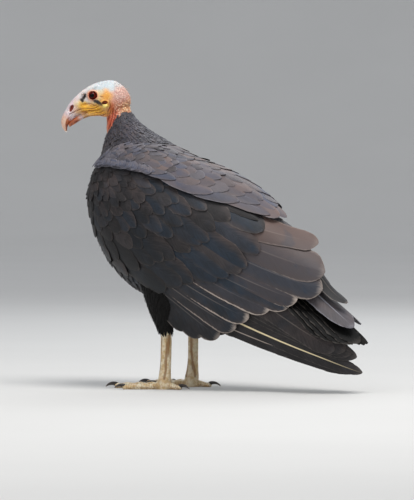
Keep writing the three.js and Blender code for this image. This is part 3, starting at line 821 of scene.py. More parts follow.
skin_mesh.polygons.foreach_set("use_smooth", np.ones(len(skin_mesh.polygons), bool))
skin = linked("skin", skin_mesh)

skin_paint = Paint("bare_skin")
fine = skin_paint.noise(900, 4, 0.6)
broad = skin_paint.noise(140, 3, 0.6)
# The dark and the light of each zone, in the order that they lie over one another.
HEAD_TINTS = [
    ("blue", "b2bcc4", "cdd5d4"), ("lilac", "cdb2ba", "e4d3d6"), ("straw", "dcc48c", "ecdcae"),
    ("coral", "d07e5a", "e8a381"), ("brick", "b4482d", "d36a46"), ("jaw_shade", "96623f", "bd8a66"),
    # The band along the jaw's lower edge is painted shade, in dull brown.
    ("rose", "c99a90", "dfbcae"), ("cream", "c88a62", "e2ae80"), ("amber", "dd9032", "f2b85c"),
    ("yolk", "e29a1f", "f4c443"), ("lobe", "efcf62", "f7e394"), ("ring", "d8855a", "efae88"),
    ("lid", "8e2c16", "b8482a"), ("soot", "2b2424", "575050"),
]
skin_colour = skin_paint.mix(broad.ramp(0.3, 0.7), tint("d2c8c5"), tint("e8dfdb"))
for zone, dark, light in HEAD_TINTS:
    shade = skin_paint.mix(fine.ramp(0.3, 0.7), tint(dark), tint(light))
    skin_colour = skin_paint.mix(skin_paint.own(zone), skin_colour, shade)
top = skin_paint.mix(skin_paint.own("cream"), tint("f0cdb8"), tint("f6e2b6"))
skin_colour = skin_paint.mix(skin_paint.own("wart").ramp(0.25, 0.95) * 0.55, skin_colour, top)
# Creases, the gape and the troughs between the throat's ropes and round the warts are darkened towards brown:
# painted shade.
painted_crease_shade = skin_paint.own("crease_shade")
skin_colour = skin_paint.mix(painted_crease_shade.ramp(0.15, 1.0) * 0.75, skin_colour, tint("9c5a3c"), "MULTIPLY")
# The nostril and the ear are painted a dark red-brown: the flesh inside them, darkened further as painted
# shade.
skin_colour = skin_paint.mix(skin_paint.own("hole_shade").ramp(0.1, 0.7), skin_colour, tint("98402a"))
leg_tint = skin_paint.mix(broad.ramp(0.35, 0.65), tint("cdb081"), tint("ece0c4"))
# The cracks between the leg's scales and the grooves down the shank are darkened brown: painted shade.
leg_tint = skin_paint.mix(painted_crease_shade.ramp(0.1, 0.75) * 0.8, leg_tint, tint("8a6034"))
skin_colour = skin_paint.mix(skin_paint.own("leg"), skin_colour, leg_tint)
skin_colour = skin_paint.mix(skin_paint.own("plume"), skin_colour, tint("262426"))
skin_paint.finish(skin_colour, 0.42 + 0.2 * fine, fine, 0.0004, Subsurface_Weight=0.12,
                  Subsurface_Radius=(0.004, 0.0015, 0.001), Subsurface_Scale=0.5)

skin_mesh.materials.clear()
skin_mesh.materials.append(skin_paint.material)
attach(skin, "root")
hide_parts("head", "neck", "trunk", *(f"{part}_{side}" for side in ("left", "right") for part in
            ("thigh", "shank", *(f"toe_{toe}" for toe in TOES))))

# ---- Plumage ----
# Every feather is a thin closed vane with a raised shaft. Small ones are laid in rows like tiles, each over
# the roots of the next, and the quills of the wings and tail one by one. A feather's points are found on the
# surface it lies on, so that it bends as the body does.


class Sheet:
    """A surface that feathers lie on: a grid of points over the unit square, which may close on itself. Its
    normals point away from inside, or from the middle of each row."""

    def __init__(self, grid, wraps=False, inside=None):
        rows, columns = grid.shape[:2]
        down = np.gradient(grid, axis=0) * (rows - 1)
        if wraps:
            across = (np.roll(grid, -1, 1) - np.roll(grid, 1, 1)) / 2 * columns
        else:
            across = np.gradient(grid, axis=1) * (columns - 1)
        normal = unit(np.cross(down, across))
        middle = grid.mean(1, keepdims=True) if inside is None else np.asarray(inside, float)
        if np.mean(np.sum(normal * (grid - middle), -1)) < 0:
            normal = -normal
        self.table, self.wraps = np.concatenate([grid, normal, down, across], -1), wraps

    def at(self, place):
        """Points, outward normals and the two ways along the grid, at places in the unit square."""
        rows, columns = self.table.shape[:2]
        r = np.clip(place[..., 0], 0, 1) * (rows - 1)
        c = place[..., 1] % 1 * columns if self.wraps else np.clip(place[..., 1], 0, 1) * (columns - 1)
        i = np.minimum(r.astype(int), rows - 2)
        k = c.astype(int) if self.wraps else np.minimum(c.astype(int), columns - 2)
        k_next = (k + 1) % columns
        u, v = (r - i)[..., None], (c - k)[..., None]
        k = k % columns
        found = ((self.table[i, k] * (1 - v) + self.table[i, k_next] * v) * (1 - u)
                 + (self.table[i + 1, k] * (1 - v) + self.table[i + 1, k_next] * v) * u)
        return found[..., :3], unit(found[..., 3:6]), found[..., 6:9], found[..., 9:12]

    def step(self, place, move):
        """The change of place that comes nearest to a move in millimetres."""
        _, _, down, across = self.at(place)
        a, b, c = ((x * y).sum(-1) for x, y in ((down, down), (down, across), (across, across)))
        p, q = (down * move).sum(-1), (across * move).sum(-1)
        ground = np.maximum(a * c - b * b, 0.02 * a * c + 1e-9)
        return np.clip(np.stack([(c * p - b * q) / ground, (a * q - b * p) / ground], -1), -0.3, 0.3)

    def stroll(self, roots, headings, lengths, shares):
        """Lines from the roots straight over the surface, as places at shares of their lengths."""
        place, lines, heading = roots, [roots], unit(headings)
        for before, after in zip(shares, shares[1:]):
            normal = self.at(place)[1]
            heading = unit(heading - normal * (heading * normal).sum(-1, keepdims=True))
            place = place + self.step(place, unit(heading) * (lengths * (after - before))[:, None])
            lines.append(place)
        return np.stack(lines, 1)


def walk(points):
    """The lengths of lines from point to point."""
    return np.linalg.norm(np.diff(points, axis=-2), axis=-1).sum(-1)


def vane_outline(shares, root, tip, blunt, narrow=0.05, shoulder=0.3):
    """Half widths along a feather: slim at the root, full past its shoulder, round or pointed at the tip."""
    grow = root + (1 - root) * np.sin(np.clip(shares / shoulder, 0, 1) * math.pi / 2)
    fall = np.clip((shares - 1 + tip) / tip, 0, 1)
    return np.maximum(grow * (1 - fall**blunt) ** (1 / 1.6), narrow)


class Tract:
    """Feathers of one kind, gathered to be made into one piece."""

    def __init__(self, shares, across, shaft=0.0):
        self.shares, self.across, self.shaft = np.array(shares, float), np.array(across, float), shaft
        self.points, self.maps, self.bakes, self.marks = [], [], [], {}

    def lay(self, sheet, lines, half_widths, outline, base, rise, thickness, roll=0.0, cup=0.0, flare=0.0,
            ragged=0.0, hand=1, bake=None, seed=None, **marks):
        """Adds feathers along lines of places on a sheet. Heights above it run from base at the root, rising
        by rise to the tip and by flare beyond it; roll lifts one edge and cup lowers both, in millimetres.
        hand is -1 on the right."""
        count, rows, m = len(lines), len(self.shares), len(self.across)
        marks["seed"] = rng.random(count) if seed is None else seed

        def each(value):
            return np.broadcast_to(np.asarray(value, float), (count,))[:, None, None]

        shares, u = self.shares[None, :, None], self.across[None, None, :]
        spine, normal, _, _ = sheet.at(lines)
        across = unit(np.cross(normal, unit(np.gradient(spine, axis=1))))
        edge = 1 + each(ragged) * rng.normal(0, 1, (count, rows, m)) * (np.abs(u) > 0.9)
        half = each(half_widths) * outline[None, :, None] * edge
        move = across[:, :, None] * (half * u)[..., None]
        place = lines[:, :, None] + sheet.step(np.repeat(lines[:, :, None], m, 2), move)
        top, up, _, _ = sheet.at(place)
        height = (each(base) + each(rise) * shares + each(flare) * shares**4 + hand * each(roll) * u * shares
                  - each(cup) * u**2)
        body = each(thickness) * (0.25 + 0.75 * (1 - u**2))
        ridge = self.shaft * np.exp(-((u / 0.05) ** 2)) * (1 - 0.7 * shares)
        inner = slice(m - 2, 0, -1)
        bottom = top[:, :, inner] + up[:, :, inner] * (height - body)[:, :, inner, None]
        ring = np.concatenate([top + up * (height + ridge)[..., None], bottom], 2)
        self.points.append(ring)
        shape = ring.shape[:3]
        own_u = hand * np.concatenate([self.across, self.across[inner]]) / 2 + 0.5
        own = np.stack([np.broadcast_to(own_u, shape), np.broadcast_to(self.shares[:, None], shape)], -1)
        self.maps.append(own)
        # In the second unwrap a quill has a cell of its own, and a small feather a speck where it grows.
        if bake is None:
            self.bakes.append((lines[:, 0] % 1)[:, None, None] + (own - (0.5, 0.5)) * 0.003)
        else:
            self.bakes.append(bake[:, None, None] + (own - (0.5, 0)) * (0.045, 0.19))
        for name, value in marks.items():
            self.marks.setdefault(name, []).append(np.broadcast_to(each(value), shape))

    def make(self, name, material):
        points = np.concatenate(self.points)
        count, rows, ring = points.shape[:3]
        start = (np.arange(count) * rows * ring)[:, None, None]
        quads = (tube_quads(rows, ring)[None] + start).reshape(-1, 4)
        root = start[:, 0] + np.arange(ring)
        tip = start[:, 0] + (rows - 1) * ring + np.arange(ring)[::-1]
        piece = mesh_object(name, metres(points.reshape(-1, 3)), [quads, root, tip], material)
        mesh = piece.data
        corners = np.concatenate([quads.ravel(), root.ravel(), tip.ravel()])
        for label, values in (("vane", self.maps), ("OFBake", self.bakes)):
            layer = mesh.uv_layers.new(name=label)
            flat = np.concatenate(values).reshape(-1, 2)
            layer.data.foreach_set("uv", flat[corners].astype(np.float32).ravel())
        for label, values in self.marks.items():
            carry(mesh, label, np.concatenate(values).ravel())
        # The rims stay crisp, so that a vane isn't shaded like a cushion.
        on_rim = np.tile(np.isin(np.arange(ring), (0, len(self.across) - 1)), count * rows)
        ends = np.empty(len(mesh.edges) * 2, np.int32)
        mesh.edges.foreach_get("vertices", ends)
        crisp = mesh.attributes.new("sharp_edge", "BOOLEAN", "EDGE")
        crisp.data.foreach_set("value", on_rim[ends.reshape(-1, 2)].all(1))
        return piece


def vary(count, spread):
    """Factors near 1, one for each of a count of feathers."""
    return 1 + rng.normal(0, spread, count).clip(-2.2 * spread, 2.2 * spread)


def feather_paint(name, dark, light, blue, warm, pale, shine=0.4):
    """Barbed vane: streaks along the barbs, a shaft line, a worn pale fringe, a bluish sheen in patches and
    painted shade at the root. The sheen is the plumage's iridescence painted into the colour. Each feather's
    own marks say how light, blue, warm and fringed it is."""
    paint = Paint(name)
    here = paint.node("ShaderNodeUVMap", {"uv_map": "vane"})
    u = paint.node("ShaderNodeSeparateXYZ", {}, {"Vector": here}, output="X") * 2 - 1
    v = paint.node("ShaderNodeSeparateXYZ", {}, {"Vector": here}, output="Y")
    off = paint.node("ShaderNodeMath", {"operation": "ABSOLUTE"}, {0: u})
    along = v * paint.own("span") - off * paint.own("reach")
    streaks = paint.noise(1.0, 3, 0.65, paint.point(along * 0.9, u * 1.5, paint.own("seed") * 9))
    barbs = paint.sine(along * 7.0) * 0.5 + 0.5
    broad, patch = paint.noise(45, 2, 0.5), paint.noise(30, 3, 0.55)
    tone = paint.own("tone") + (streaks - 0.5) * 0.7 + (broad - 0.5) * 0.5
    colour = paint.mix(tone.ramp(-0.1, 1.1), tint(dark), tint(light))
    warmth = (paint.own("warm") * (0.75 + 0.25 * u) + patch.ramp(0.54, 0.7) * 0.2).clamped()
    colour = paint.mix(warmth * tone.ramp(-0.2, 0.6), colour, tint(warm))
    # The bluish sheen is painted: the plumage's iridescence, put into the colour on the inner web of feathers
    # marked blue, and in patches over all.
    inner_web = (u + (streaks - 0.5) * 0.6).ramp(0.85, 0.05) * (u + (streaks - 0.5) * 0.5).ramp(-1.1, -0.4)
    painted_sheen = paint.own("blue") * inner_web * v.ramp(0.1, 0.5) + patch.ramp(0.46, 0.32) * 0.35
    colour = paint.mix(painted_sheen.clamped(), colour, tint(blue), "MULTIPLY")
    fringe = paint.own("fringe")
    rim = ((off + fringe * 0.05 + (streaks - 0.5) * 0.24).ramp(0.9, 0.99)
           + (v + (streaks - 0.5) * 0.06).ramp(0.95, 1.0)).clamped()
    colour = paint.mix(rim * fringe, colour, tint(pale))
    quill = paint.own("quill")
    shaft = paint.mix(quill.ramp(0.7, 0.95), tint(pale), tint("ead9b0"))
    colour = paint.mix((off - quill * (0.09 - v * 0.07)).ramp(0.045, 0.02) * quill.ramp(0.0, 0.7)
                       * (v - quill * 0.1).ramp(0.95, 0.6), colour, shaft)
    # Each feather darkens towards its root, where it lies under the ones above: painted shade.
    colour = paint.mix(v.ramp(0.3, 0.0) * 0.3, colour, tint("0d0c0c"))
    relief = barbs * 0.3 + streaks * 0.7
    paint.finish(colour, 0.5 + 0.18 * streaks, relief, 0.0002, Sheen_Weight=0.03, Sheen_Roughness=0.4,
                 Specular_IOR_Level=shine)
    return paint.material


PLUME = feather_paint("wing_plumage", "100f11", "4a4648", "86c8ff", "604d47", "b3a69c")
MANTLE = feather_paint("mantle_plumage", "242325", "605d64", "c4dcff", "6b554c", "a2a4ae")
BLACK = feather_paint("black_plumage", "040404", "141313", "b4dcff", "17120f", "8f877f", 0.15)

# The envelope that both folded wings lie in, seen from the side: a sheet over a window of y and z.
SIDE_LOW, SIDE_HIGH = np.array((-130.0, 5.0)), np.array((320.0, 350.0))
envelope_grid = loft_grid(in_middle(ENVELOPE_KEYS), 120, 160, fullness=ENVELOPE_FULLNESS)
# How far out the wing's lower part hangs beside the body, along the bird's length.
HANG_ALONG, HANG_OUT = (-60, 0, 90, 150, 220, 300), (20, 50, 50, 40, 30, 18)


SIDE_COLUMNS, EASING = (150, 120), 16


def side_grid(grid):
    """The left flank of a loft as a height map. Past its outline the map falls away inwards, but below the
    middle it hangs straight down instead, as the wing does."""
    points, faces = shell_of(grid)
    flank = BVHTree.FromPolygons(points.tolist(), [tuple(map(int, f)) for group in faces for f in group])
    made = np.empty((*SIDE_COLUMNS, 3))
    for i, y in enumerate(np.linspace(SIDE_LOW[0], SIDE_HIGH[0], SIDE_COLUMNS[0])):
        for k, z in enumerate(np.linspace(SIDE_LOW[1], SIDE_HIGH[1], SIDE_COLUMNS[1])):
            hit = flank.ray_cast(Vector((200, y, z)), Vector((-1, 0, 0)))[0]
            if hit is None:
                near, _, _, away = flank.find_nearest(Vector((5, y, z)))
                hit = (max(near.x, 0) - 1.6 * away, y, z)
            low = float(smooth_step(z, low_line(y) + 30, low_line(y) - 30))
            hang = 1 + (np.interp(y, HANG_ALONG, HANG_OUT) - 1) * low
            x = 0.5 * (hit[0] + hang + math.hypot(hit[0] - hang, 4 + 4 * low))
            made[i, k] = x, y, z
    # The rear is eased, so that the long vanes lie smoothly over its sharp outline.
    eased = made[..., 0]
    for _ in range(EASING):
        near = np.pad(eased, 1, "edge")
        eased = (near[:-2, 1:-1] + near[2:, 1:-1] + near[1:-1, :-2] + near[1:-1, 2:] + 4 * eased) / 8
    made[..., 0] += (eased - made[..., 0]) * smooth_step(made[..., 1], 125, 175)
    return made


def low_line(y):
    """The height of the envelope's middle line."""
    keys = np.array(ENVELOPE_KEYS)
    return np.interp(y, keys[:, 0], keys[:, 1])


def at_side(spots):
    return (np.asarray(spots, float) - SIDE_LOW) / (SIDE_HIGH - SIDE_LOW)


flank_grid = side_grid(envelope_grid)
inside = (0, 60, 150)
LEFT = Sheet(flank_grid, inside=inside)
right_grid = mirrored(flank_grid) + RIGHT_WING_SHIFT
# The right wing's lower part stands a little further out, clear of the thigh.
right_grid[..., 0] -= 9 * smooth_step(right_grid[..., 2], 165, 115) * smooth_step(right_grid[..., 1], 110, 50)
RIGHT = Sheet(right_grid, inside=inside)

# ---- Wing coverts ----
# The scaly cover of the folded arm, in rows that fan out from the wrist: small at the front edge and growing
# to the bluish greater coverts, which lie over the roots of the secondaries. Their blue is the plumage's
# iridescent sheen, painted into the colour.
COVERT_FRONT = [(-98, 280), (-106, 250), (-99, 216), (-80, 182), (-52, 148), (-16, 121)]
COVERT_TOP = [(-66, 305), (-30, 303), (10, 294), (52, 279), (96, 256), (140, 232)]
COVERT_REAR = [(-16, 121), (30, 134), (62, 140), (90, 142), (114, 150), (134, 160), (148, 176), (152, 205)]
# Tips of the rows as shares of the way back, and the spacing of the feathers in them in millimetres.
COVERT_TIPS = (0.03, 0.07, 0.11, 0.155, 0.20, 0.25, 0.305, 0.365, 0.435, 0.515, 0.605, 0.71, 0.83, 1.0)
COVERT_SPACING = ((0, 0.2, 0.4, 0.7, 0.83, 1), (7.5, 9.5, 12.5, 17, 20, 23))


def covert_place(b, t):
    """Where, seen from the side, the place b of the way up and t of the way back from the wrist is."""
    front, top = row_at(COVERT_FRONT, t), row_at(COVERT_TOP, t)
    front_end, top_end = np.array(COVERT_FRONT[-1]), np.array(COVERT_TOP[-1])
    b = np.asarray(b)[:, None]
    plain = front * (1 - b) + top * b
    pull = row_at(COVERT_REAR, b[:, 0]) - (front_end * (1 - b) + top_end * b)
    return plain + np.clip(np.asarray(t), 0, 1)[:, None] ** 2 * pull


SMALL_SHARES, SMALL_ACROSS = (0, 0.2, 0.42, 0.62, 0.78, 0.9, 0.97, 1), (-1, -0.55, 0, 0.55, 1)
COVERT_SHARES = (0, 0.15, 0.3, 0.45, 0.58, 0.7, 0.8, 0.88, 0.94, 0.98, 1)
COVERT_ACROSS = (-1, -0.75, -0.4, 0, 0.4, 0.75, 1)


def lay_coverts(tract, sheet, hand):
    """The rows of coverts over the outer face of one wing."""
    for row, t_tip in enumerate(COVERT_TIPS):
        greater = t_tip == 1
        before = COVERT_TIPS[row - 2] if row > 1 else (row - 1.6) * 0.045
        t_root = 0.56 if greater else before - 0.25 * (t_tip - before)
        spacing = np.interp(t_tip, *COVERT_SPACING)
        count = int(round(walk(covert_place(np.linspace(0, 1, 60), np.full(60, t_tip))) / spacing))
        b = (np.arange(-1, count + 1) + 0.5 * (row % 2) + 0.25 + rng.normal(0, 0.15, count + 2)) / count
        b = b[(b > -0.03) & (b < 1.02)]
        count = len(b)
        tips = t_tip + rng.normal(0, np.interp(t_tip, (0, 0.6, 1), (0.012, 0.014, 0.007)), count)
        drift = 0.012 + rng.normal(0, 0.012, count)
        lines = np.stack([at_side(covert_place(b + drift * share, t_root + (tips - t_root) * share))
                          for share in tract.shares], 1)
        half = spacing * (0.78 if greater else 0.70) * vary(count, 0.06)
        tip = 0.32 if t_tip > 0.5 else 0.5
        outline = vane_outline(tract.shares, root=0.45, tip=tip, blunt=1.8, narrow=0.1)
        # Along the top of the wing, below the cape, the coverts are painted paler and bluer: painted sheen.
        high = smooth_step(b, 0.72, 0.9) * smooth_step(t_tip, 0.08, 0.16) * smooth_step(t_tip, 0.62, 0.4)
        painted_sheen = (rng.random(count) > 0.5) * smooth_step(t_tip, 0.3, 0.6)
        lift = np.interp(t_tip, (0, 0.5, 1), (1.7, 2.1, 2.8))
        shade = 0.06 * greater + 0.35 * high - 0.25 * smooth_step(b, 0.6, 0.1)
        tract.lay(sheet, lines, half, outline, base=0.3 - lift,
                  rise=lift + 0.3 * rng.normal(0, 1, count).clip(-1, 1), thickness=0.4, cup=0.5,
                  roll=-0.2 + rng.normal(0, 0.45, count), flare=0.5 * rng.random(count), ragged=0.05,
                  hand=hand, tone=0.22 + 0.3 * rng.random(count) - 0.1 * t_tip + shade,
                  blue=np.clip(0.3 * rng.random(count) + 0.7 * painted_sheen + 0.5 * high
                               + (0.7 * (rng.random(count) > 0.3) if greater else 0), 0, 0.95),
                  warm=0.4 * rng.random(count) * (1 - high), fringe=0.02 + 0.1 * rng.random(count) * t_tip,
                  quill=(0.05 + 0.25 * (rng.random(count) > 0.8) * smooth_step(b, 0.3, 0.6)) * greater,
                  span=walk(sheet.at(lines)[0]) / 3, reach=half / 2)


def staggered(sheet, low, high, pitch, spacing):
    """Roots in rows down a tube-like sheet from low to high, each row set half a space on from the last. The
    pitch of the rows and the spacing in them run from one width to another, in millimetres."""
    roots, s, row = [], low, 0
    while s < high:
        ring, _, down, _ = sheet.at(np.stack([np.full(64, s), np.arange(64) / 64], -1))
        walked = np.append(0, np.cumsum(np.linalg.norm(np.roll(ring, -1, 0) - ring, axis=1)))
        girth = walked[-1]
        here = (s - low) / (high - low)
        count = max(int(girth / np.interp(here, (0, 1), spacing)), 3)
        stride = np.interp(here, (0, 1), pitch) / np.quantile(np.linalg.norm(down, axis=1), 0.8)
        places = (np.arange(count) + 0.5 * (row % 2) + rng.normal(0, 0.12, count)) / count
        places = np.interp(places % 1 * girth, walked, np.linspace(0, 1, 65))
        roots.append(np.stack([s + rng.normal(0, 0.12, count) * stride, places % 1], -1))
        s, row = s + stride, row + 1
    return np.concatenate(roots)


def lay_edge(tract, sheet):
    """The small coverts that wrap the wing's front edge, over its outer and inner faces."""
    outline = vane_outline(tract.shares, root=0.5, tip=0.45, blunt=2.0, narrow=0.15)
    roots = staggered(sheet, 0.02, 0.98, (5.3, 5.3), (5.7, 5.7))
    count = len(roots)
    headings = (0, 1.0, -0.45) + rng.normal(0, 0.12, (count, 3))
    lengths = 12 * vary(count, 0.12)
    lines = sheet.stroll(roots, headings, lengths, tract.shares)
    tract.lay(sheet, lines, 3.9 * vary(count, 0.1), outline, base=-1.2, rise=2.2, thickness=0.4, cup=0.4,
              roll=rng.normal(0, 0.2, count), ragged=0.03, tone=0.2 + 0.16 * rng.random(count),
              blue=0.25 * rng.random(count), warm=0.3 * rng.random(count), fringe=0.12, quill=0.05,
              span=lengths / 3, reach=1.8)


arm = loft_grid(ARM_KEYS, 50, 36)
for name, sheet, hand, grid in (("left", LEFT, 1, arm),
                                ("right", RIGHT, -1, mirrored(arm) + RIGHT_WING_SHIFT)):
    coverts = Tract(COVERT_SHARES, COVERT_ACROSS)
    lay_coverts(coverts, sheet, hand)
    lay_edge(coverts, Sheet(grid, wraps=True))
    piece = coverts.make(f"coverts_{name}", PLUME)
    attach(piece, "root")
    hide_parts(f"wing_{name}")

# ---- Flight feathers ----
# Secondaries and tertials fan from the arm, each lying under the next one in, and the primaries of the folded
# hand lie deeper still and reach beyond them over the tail. Their webs are stiff, with worn, pale edges.
# Places seen from the side, from the innermost tertial down to the lowest secondary, then their half widths.
SECONDARY_TIPS = [(210, 191), (229, 156), (229, 133), (197, 119), (187, 112), (160, 106), (131, 94),
                  (112, 81), (88, 70), (64, 71), (42, 79), (22, 92)]
SECONDARY_ROOTS = [(56, 243), (66, 225), (62, 206), (43, 194), (33, 188), (14, 187), (-13, 182),
                   (-26, 175), (-38, 168), (-47, 172), (-55, 181), (-62, 192)]
SECONDARY_HALVES = (18.5, 22, 20, 16.5, 15.5, 15, 16, 15.5, 15, 14, 13.5, 13)
# How pale, blue, warm and fringed each is; the blue is the plumage's iridescent sheen, painted into the
# colour.
SECONDARY_LOOKS = [(1.0, 0.0, 1.0, 0.2), (0.9, 0.25, 0.45, 0.25), (0.75, 0.6, 0.25, 0.5),
                   (0.6, 0.5, 0.6, 1.0), (0.45, 0.8, 0.4, 0.9), (0.5, 0.6, 0.5, 1.0), (0.3, 0.8, 0.4, 0.9),
                   (0.25, 0.5, 0.4, 0.6), (0.15, 0.6, 0.3, 0.4), (0.1, 0.5, 0.3, 0.25),
                   (0.05, 0.4, 0.2, 0.2), (0.0, 0.4, 0.2, 0.15)]
PRIMARY_TIPS = [(243, 56), (257, 56), (264, 51), (271, 47), (279, 28), (268, 27)]
PRIMARY_ROOTS = [(102, 148), (92, 143), (82, 138), (72, 132), (58, 112), (50, 101)]
# One dark scapular shows below the cape's edge.
STRAY_ROOT, STRAY_TIP = [(72, 254)], [(143, 220)]
QUILL_SHARES = np.concatenate([np.linspace(0, 0.5, 9)[:-1], np.linspace(0.5, 0.9, 16)[:-1],
                               1 - 0.1 * np.linspace(1, 0, 14) ** 1.7])
QUILL_ACROSS = (-1, -0.92, -0.7, -0.4, -0.1, 0, 0.1, 0.4, 0.7, 0.92, 1)


def bowed(roots, tips, shares, bow):
    """Places in the side window, in lines that each sag below their chord by a share of its length."""
    roots, tips = np.asarray(roots, float), np.asarray(tips, float)
    chord = tips - roots
    sag = np.stack([chord[:, 1], -chord[:, 0]], -1)
    sag *= np.where(sag[:, 1:2] > 0, -1, 1)
    shares = np.asarray(shares)[None, :, None]
    arch = np.reshape(bow, (-1, 1, 1)) * 4 * shares * (1 - shares)
    return at_side(roots[:, None] + chord[:, None] * shares + sag[:, None] * arch)


def atlas(count, start=0, columns=20, rows=5):
    """The foot of each quill's own cell in its piece's second unwrap, as each is a long strip."""
    order = start + np.arange(count)
    return np.stack([(order % columns + 0.5) / columns, (order // columns) / rows + 0.004], -1)


def lay_quills(tract, sheet, tuck, hand):
    """The tertials and secondaries. tuck draws their tips forwards, and most at the innermost."""
    count = len(SECONDARY_TIPS)
    order = np.arange(count)
    outline = vane_outline(tract.shares, root=0.42, shoulder=0.35, tip=0.15, blunt=2.3, narrow=0.1)
    slip = np.stack([tuck * (1 - order / count), 0 * order], -1)
    bow = 0.035 - 0.022 * (order == 0)
    lines = bowed(SECONDARY_ROOTS, SECONDARY_TIPS - slip, tract.shares, bow)
    lengths = np.linalg.norm(np.subtract(SECONDARY_TIPS, SECONDARY_ROOTS), axis=1)
    pale, blue, warm, fringe = np.array(SECONDARY_LOOKS).T
    tract.lay(sheet, lines, SECONDARY_HALVES, outline, base=-3.4 - 0.12 * order, rise=3.1 - 0.24 * order,
              thickness=0.6, cup=0.9, roll=-0.8, ragged=0.009, hand=hand, bake=atlas(count), tone=pale,
              blue=blue, warm=warm, fringe=fringe, quill=(0.06 + 0.16 * rng.random(count)) * (order < 9),
              span=lengths / 3, reach=np.array(SECONDARY_HALVES) / 2)


def lay_primaries(tract, sheet, hand):
    """The primaries, whose tips show below and behind the tertials."""
    count = len(PRIMARY_TIPS)
    order = np.arange(count)
    outline = vane_outline(tract.shares, root=0.5, shoulder=0.3, tip=0.16, blunt=2.0, narrow=0.07)
    lines = bowed(PRIMARY_ROOTS, PRIMARY_TIPS, tract.shares, 0.02)
    lengths = np.linalg.norm(np.subtract(PRIMARY_TIPS, PRIMARY_ROOTS), axis=1)
    tract.lay(sheet, lines, np.linspace(16, 9, count), outline, base=-9.2 - 0.1 * order,
              rise=0.7 - 0.5 * order, thickness=0.6, cup=0.5, roll=-0.6, ragged=0.014, hand=hand,
              bake=atlas(count, 20), tone=(0.3, 0.2, 0.15, 0.15, 0.15, 0.1), blue=0.1,
              warm=(0.3, 0.2, 0.2, 0.1, 0.1, 0.1), fringe=0.08, quill=(0.2, 0.1, 0.1, 0.15, 1.0, 0.5),
              span=lengths / 3, reach=6)


for name, sheet, tuck, hand in (("left", LEFT, 0, 1), ("right", RIGHT, 12, -1)):
    quills = Tract(QUILL_SHARES, QUILL_ACROSS, shaft=0.45)
    lay_quills(quills, sheet, tuck, hand)
    lay_primaries(quills, sheet, hand)
    stray = bowed(STRAY_ROOT, STRAY_TIP, quills.shares, -0.03)
    quills.lay(sheet, stray, 8, vane_outline(quills.shares, root=0.5, tip=0.5, blunt=1.8), base=-0.5,
               rise=1.6, thickness=0.5, cup=0.6, ragged=0.02, hand=hand, bake=atlas(1, 40), tone=0.0,
               blue=0.1, warm=0.0, fringe=0.1, quill=0.0, span=26, reach=4, seed=0.5)
    piece = quills.make(f"flight_feathers_{name}", PLUME)
    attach(piece, "root")
    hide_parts(f"primaries_{name}")

# ---- Cape ----
# The mantle and scapulars hang over both shoulders as one cape: small at the neck, long at the rear, and with
# a loose bluish edge that stands off the wing below it.
CAPE_LIFT = [2, 7, 12, 9, 6, 3, 1, 0, 0, 0, 0, 0]
CAPE_KEYS = [(y, z, w + 0.3 * lift, up + lift, down) for (y, z, w, up, down), lift in
             zip(ENVELOPE_KEYS, CAPE_LIFT)]
cape_grid = loft_grid(in_middle(CAPE_KEYS), 120, 160, fullness=ENVELOPE_FULLNESS)
cape_grid[..., 1] += RIGHT_WING_SHIFT[1] * smooth_step(-cape_grid[..., 0], 5, 45)
CAPE = Sheet(cape_grid, wraps=True)
CAPE_EDGE = [(-90, 289), (-76, 291), (-56, 292), (-38, 289), (-12, 285), (12, 277), (44, 264), (72, 255),
             (98, 248), (124, 239), (146, 228), (165, 216)]
CAPE_ROWS, CAPE_SAMPLES = 19, 60
TOP_OF_RING = 0.25  # where the midline lies across the grid


def on_cape(spots):
    """Places on the left of the cape that are seen at spots of y and z from the side."""
    flat, (rows, columns) = cape_grid.reshape(-1, 3), cape_grid.shape[:2]
    found = []
    for y, z in spots:
        away = np.hypot(flat[:, 1] - y, flat[:, 2] - z) + 1000 * (flat[:, 0] < -0.1)
        i, k = divmod(int(np.argmin(away)), columns)
        found.append((i / (rows - 1), (k + columns // 4) % columns / columns - TOP_OF_RING))
    return np.array(found)


# The cape's lower edge, smoothed along its length, and its midline, as places on the grid.
cape_low = on_cape(row_at(CAPE_EDGE, np.linspace(0, 1, CAPE_SAMPLES)))
cape_low = [np.convolve(np.pad(way, 4, "edge"), np.ones(9) / 9, "valid") for way in cape_low.T]
cape_mid = np.linspace(0.10, cape_low[0][-1] + 0.002, CAPE_SAMPLES)


def cape_place(b, t):
    """The place b of the way from the midline to the left edge, and t of the way back. On the right b is
    negative."""
    t, samples = np.clip(t, 0, 1) * (CAPE_SAMPLES - 1), np.arange(CAPE_SAMPLES)
    low_s, low_c, mid_s = (np.interp(t, samples, way) for way in (*cape_low, cape_mid))
    share = np.abs(b)
    return np.stack([share * low_s + (1 - share) * mid_s, TOP_OF_RING - b * (TOP_OF_RING - low_c)], -1)


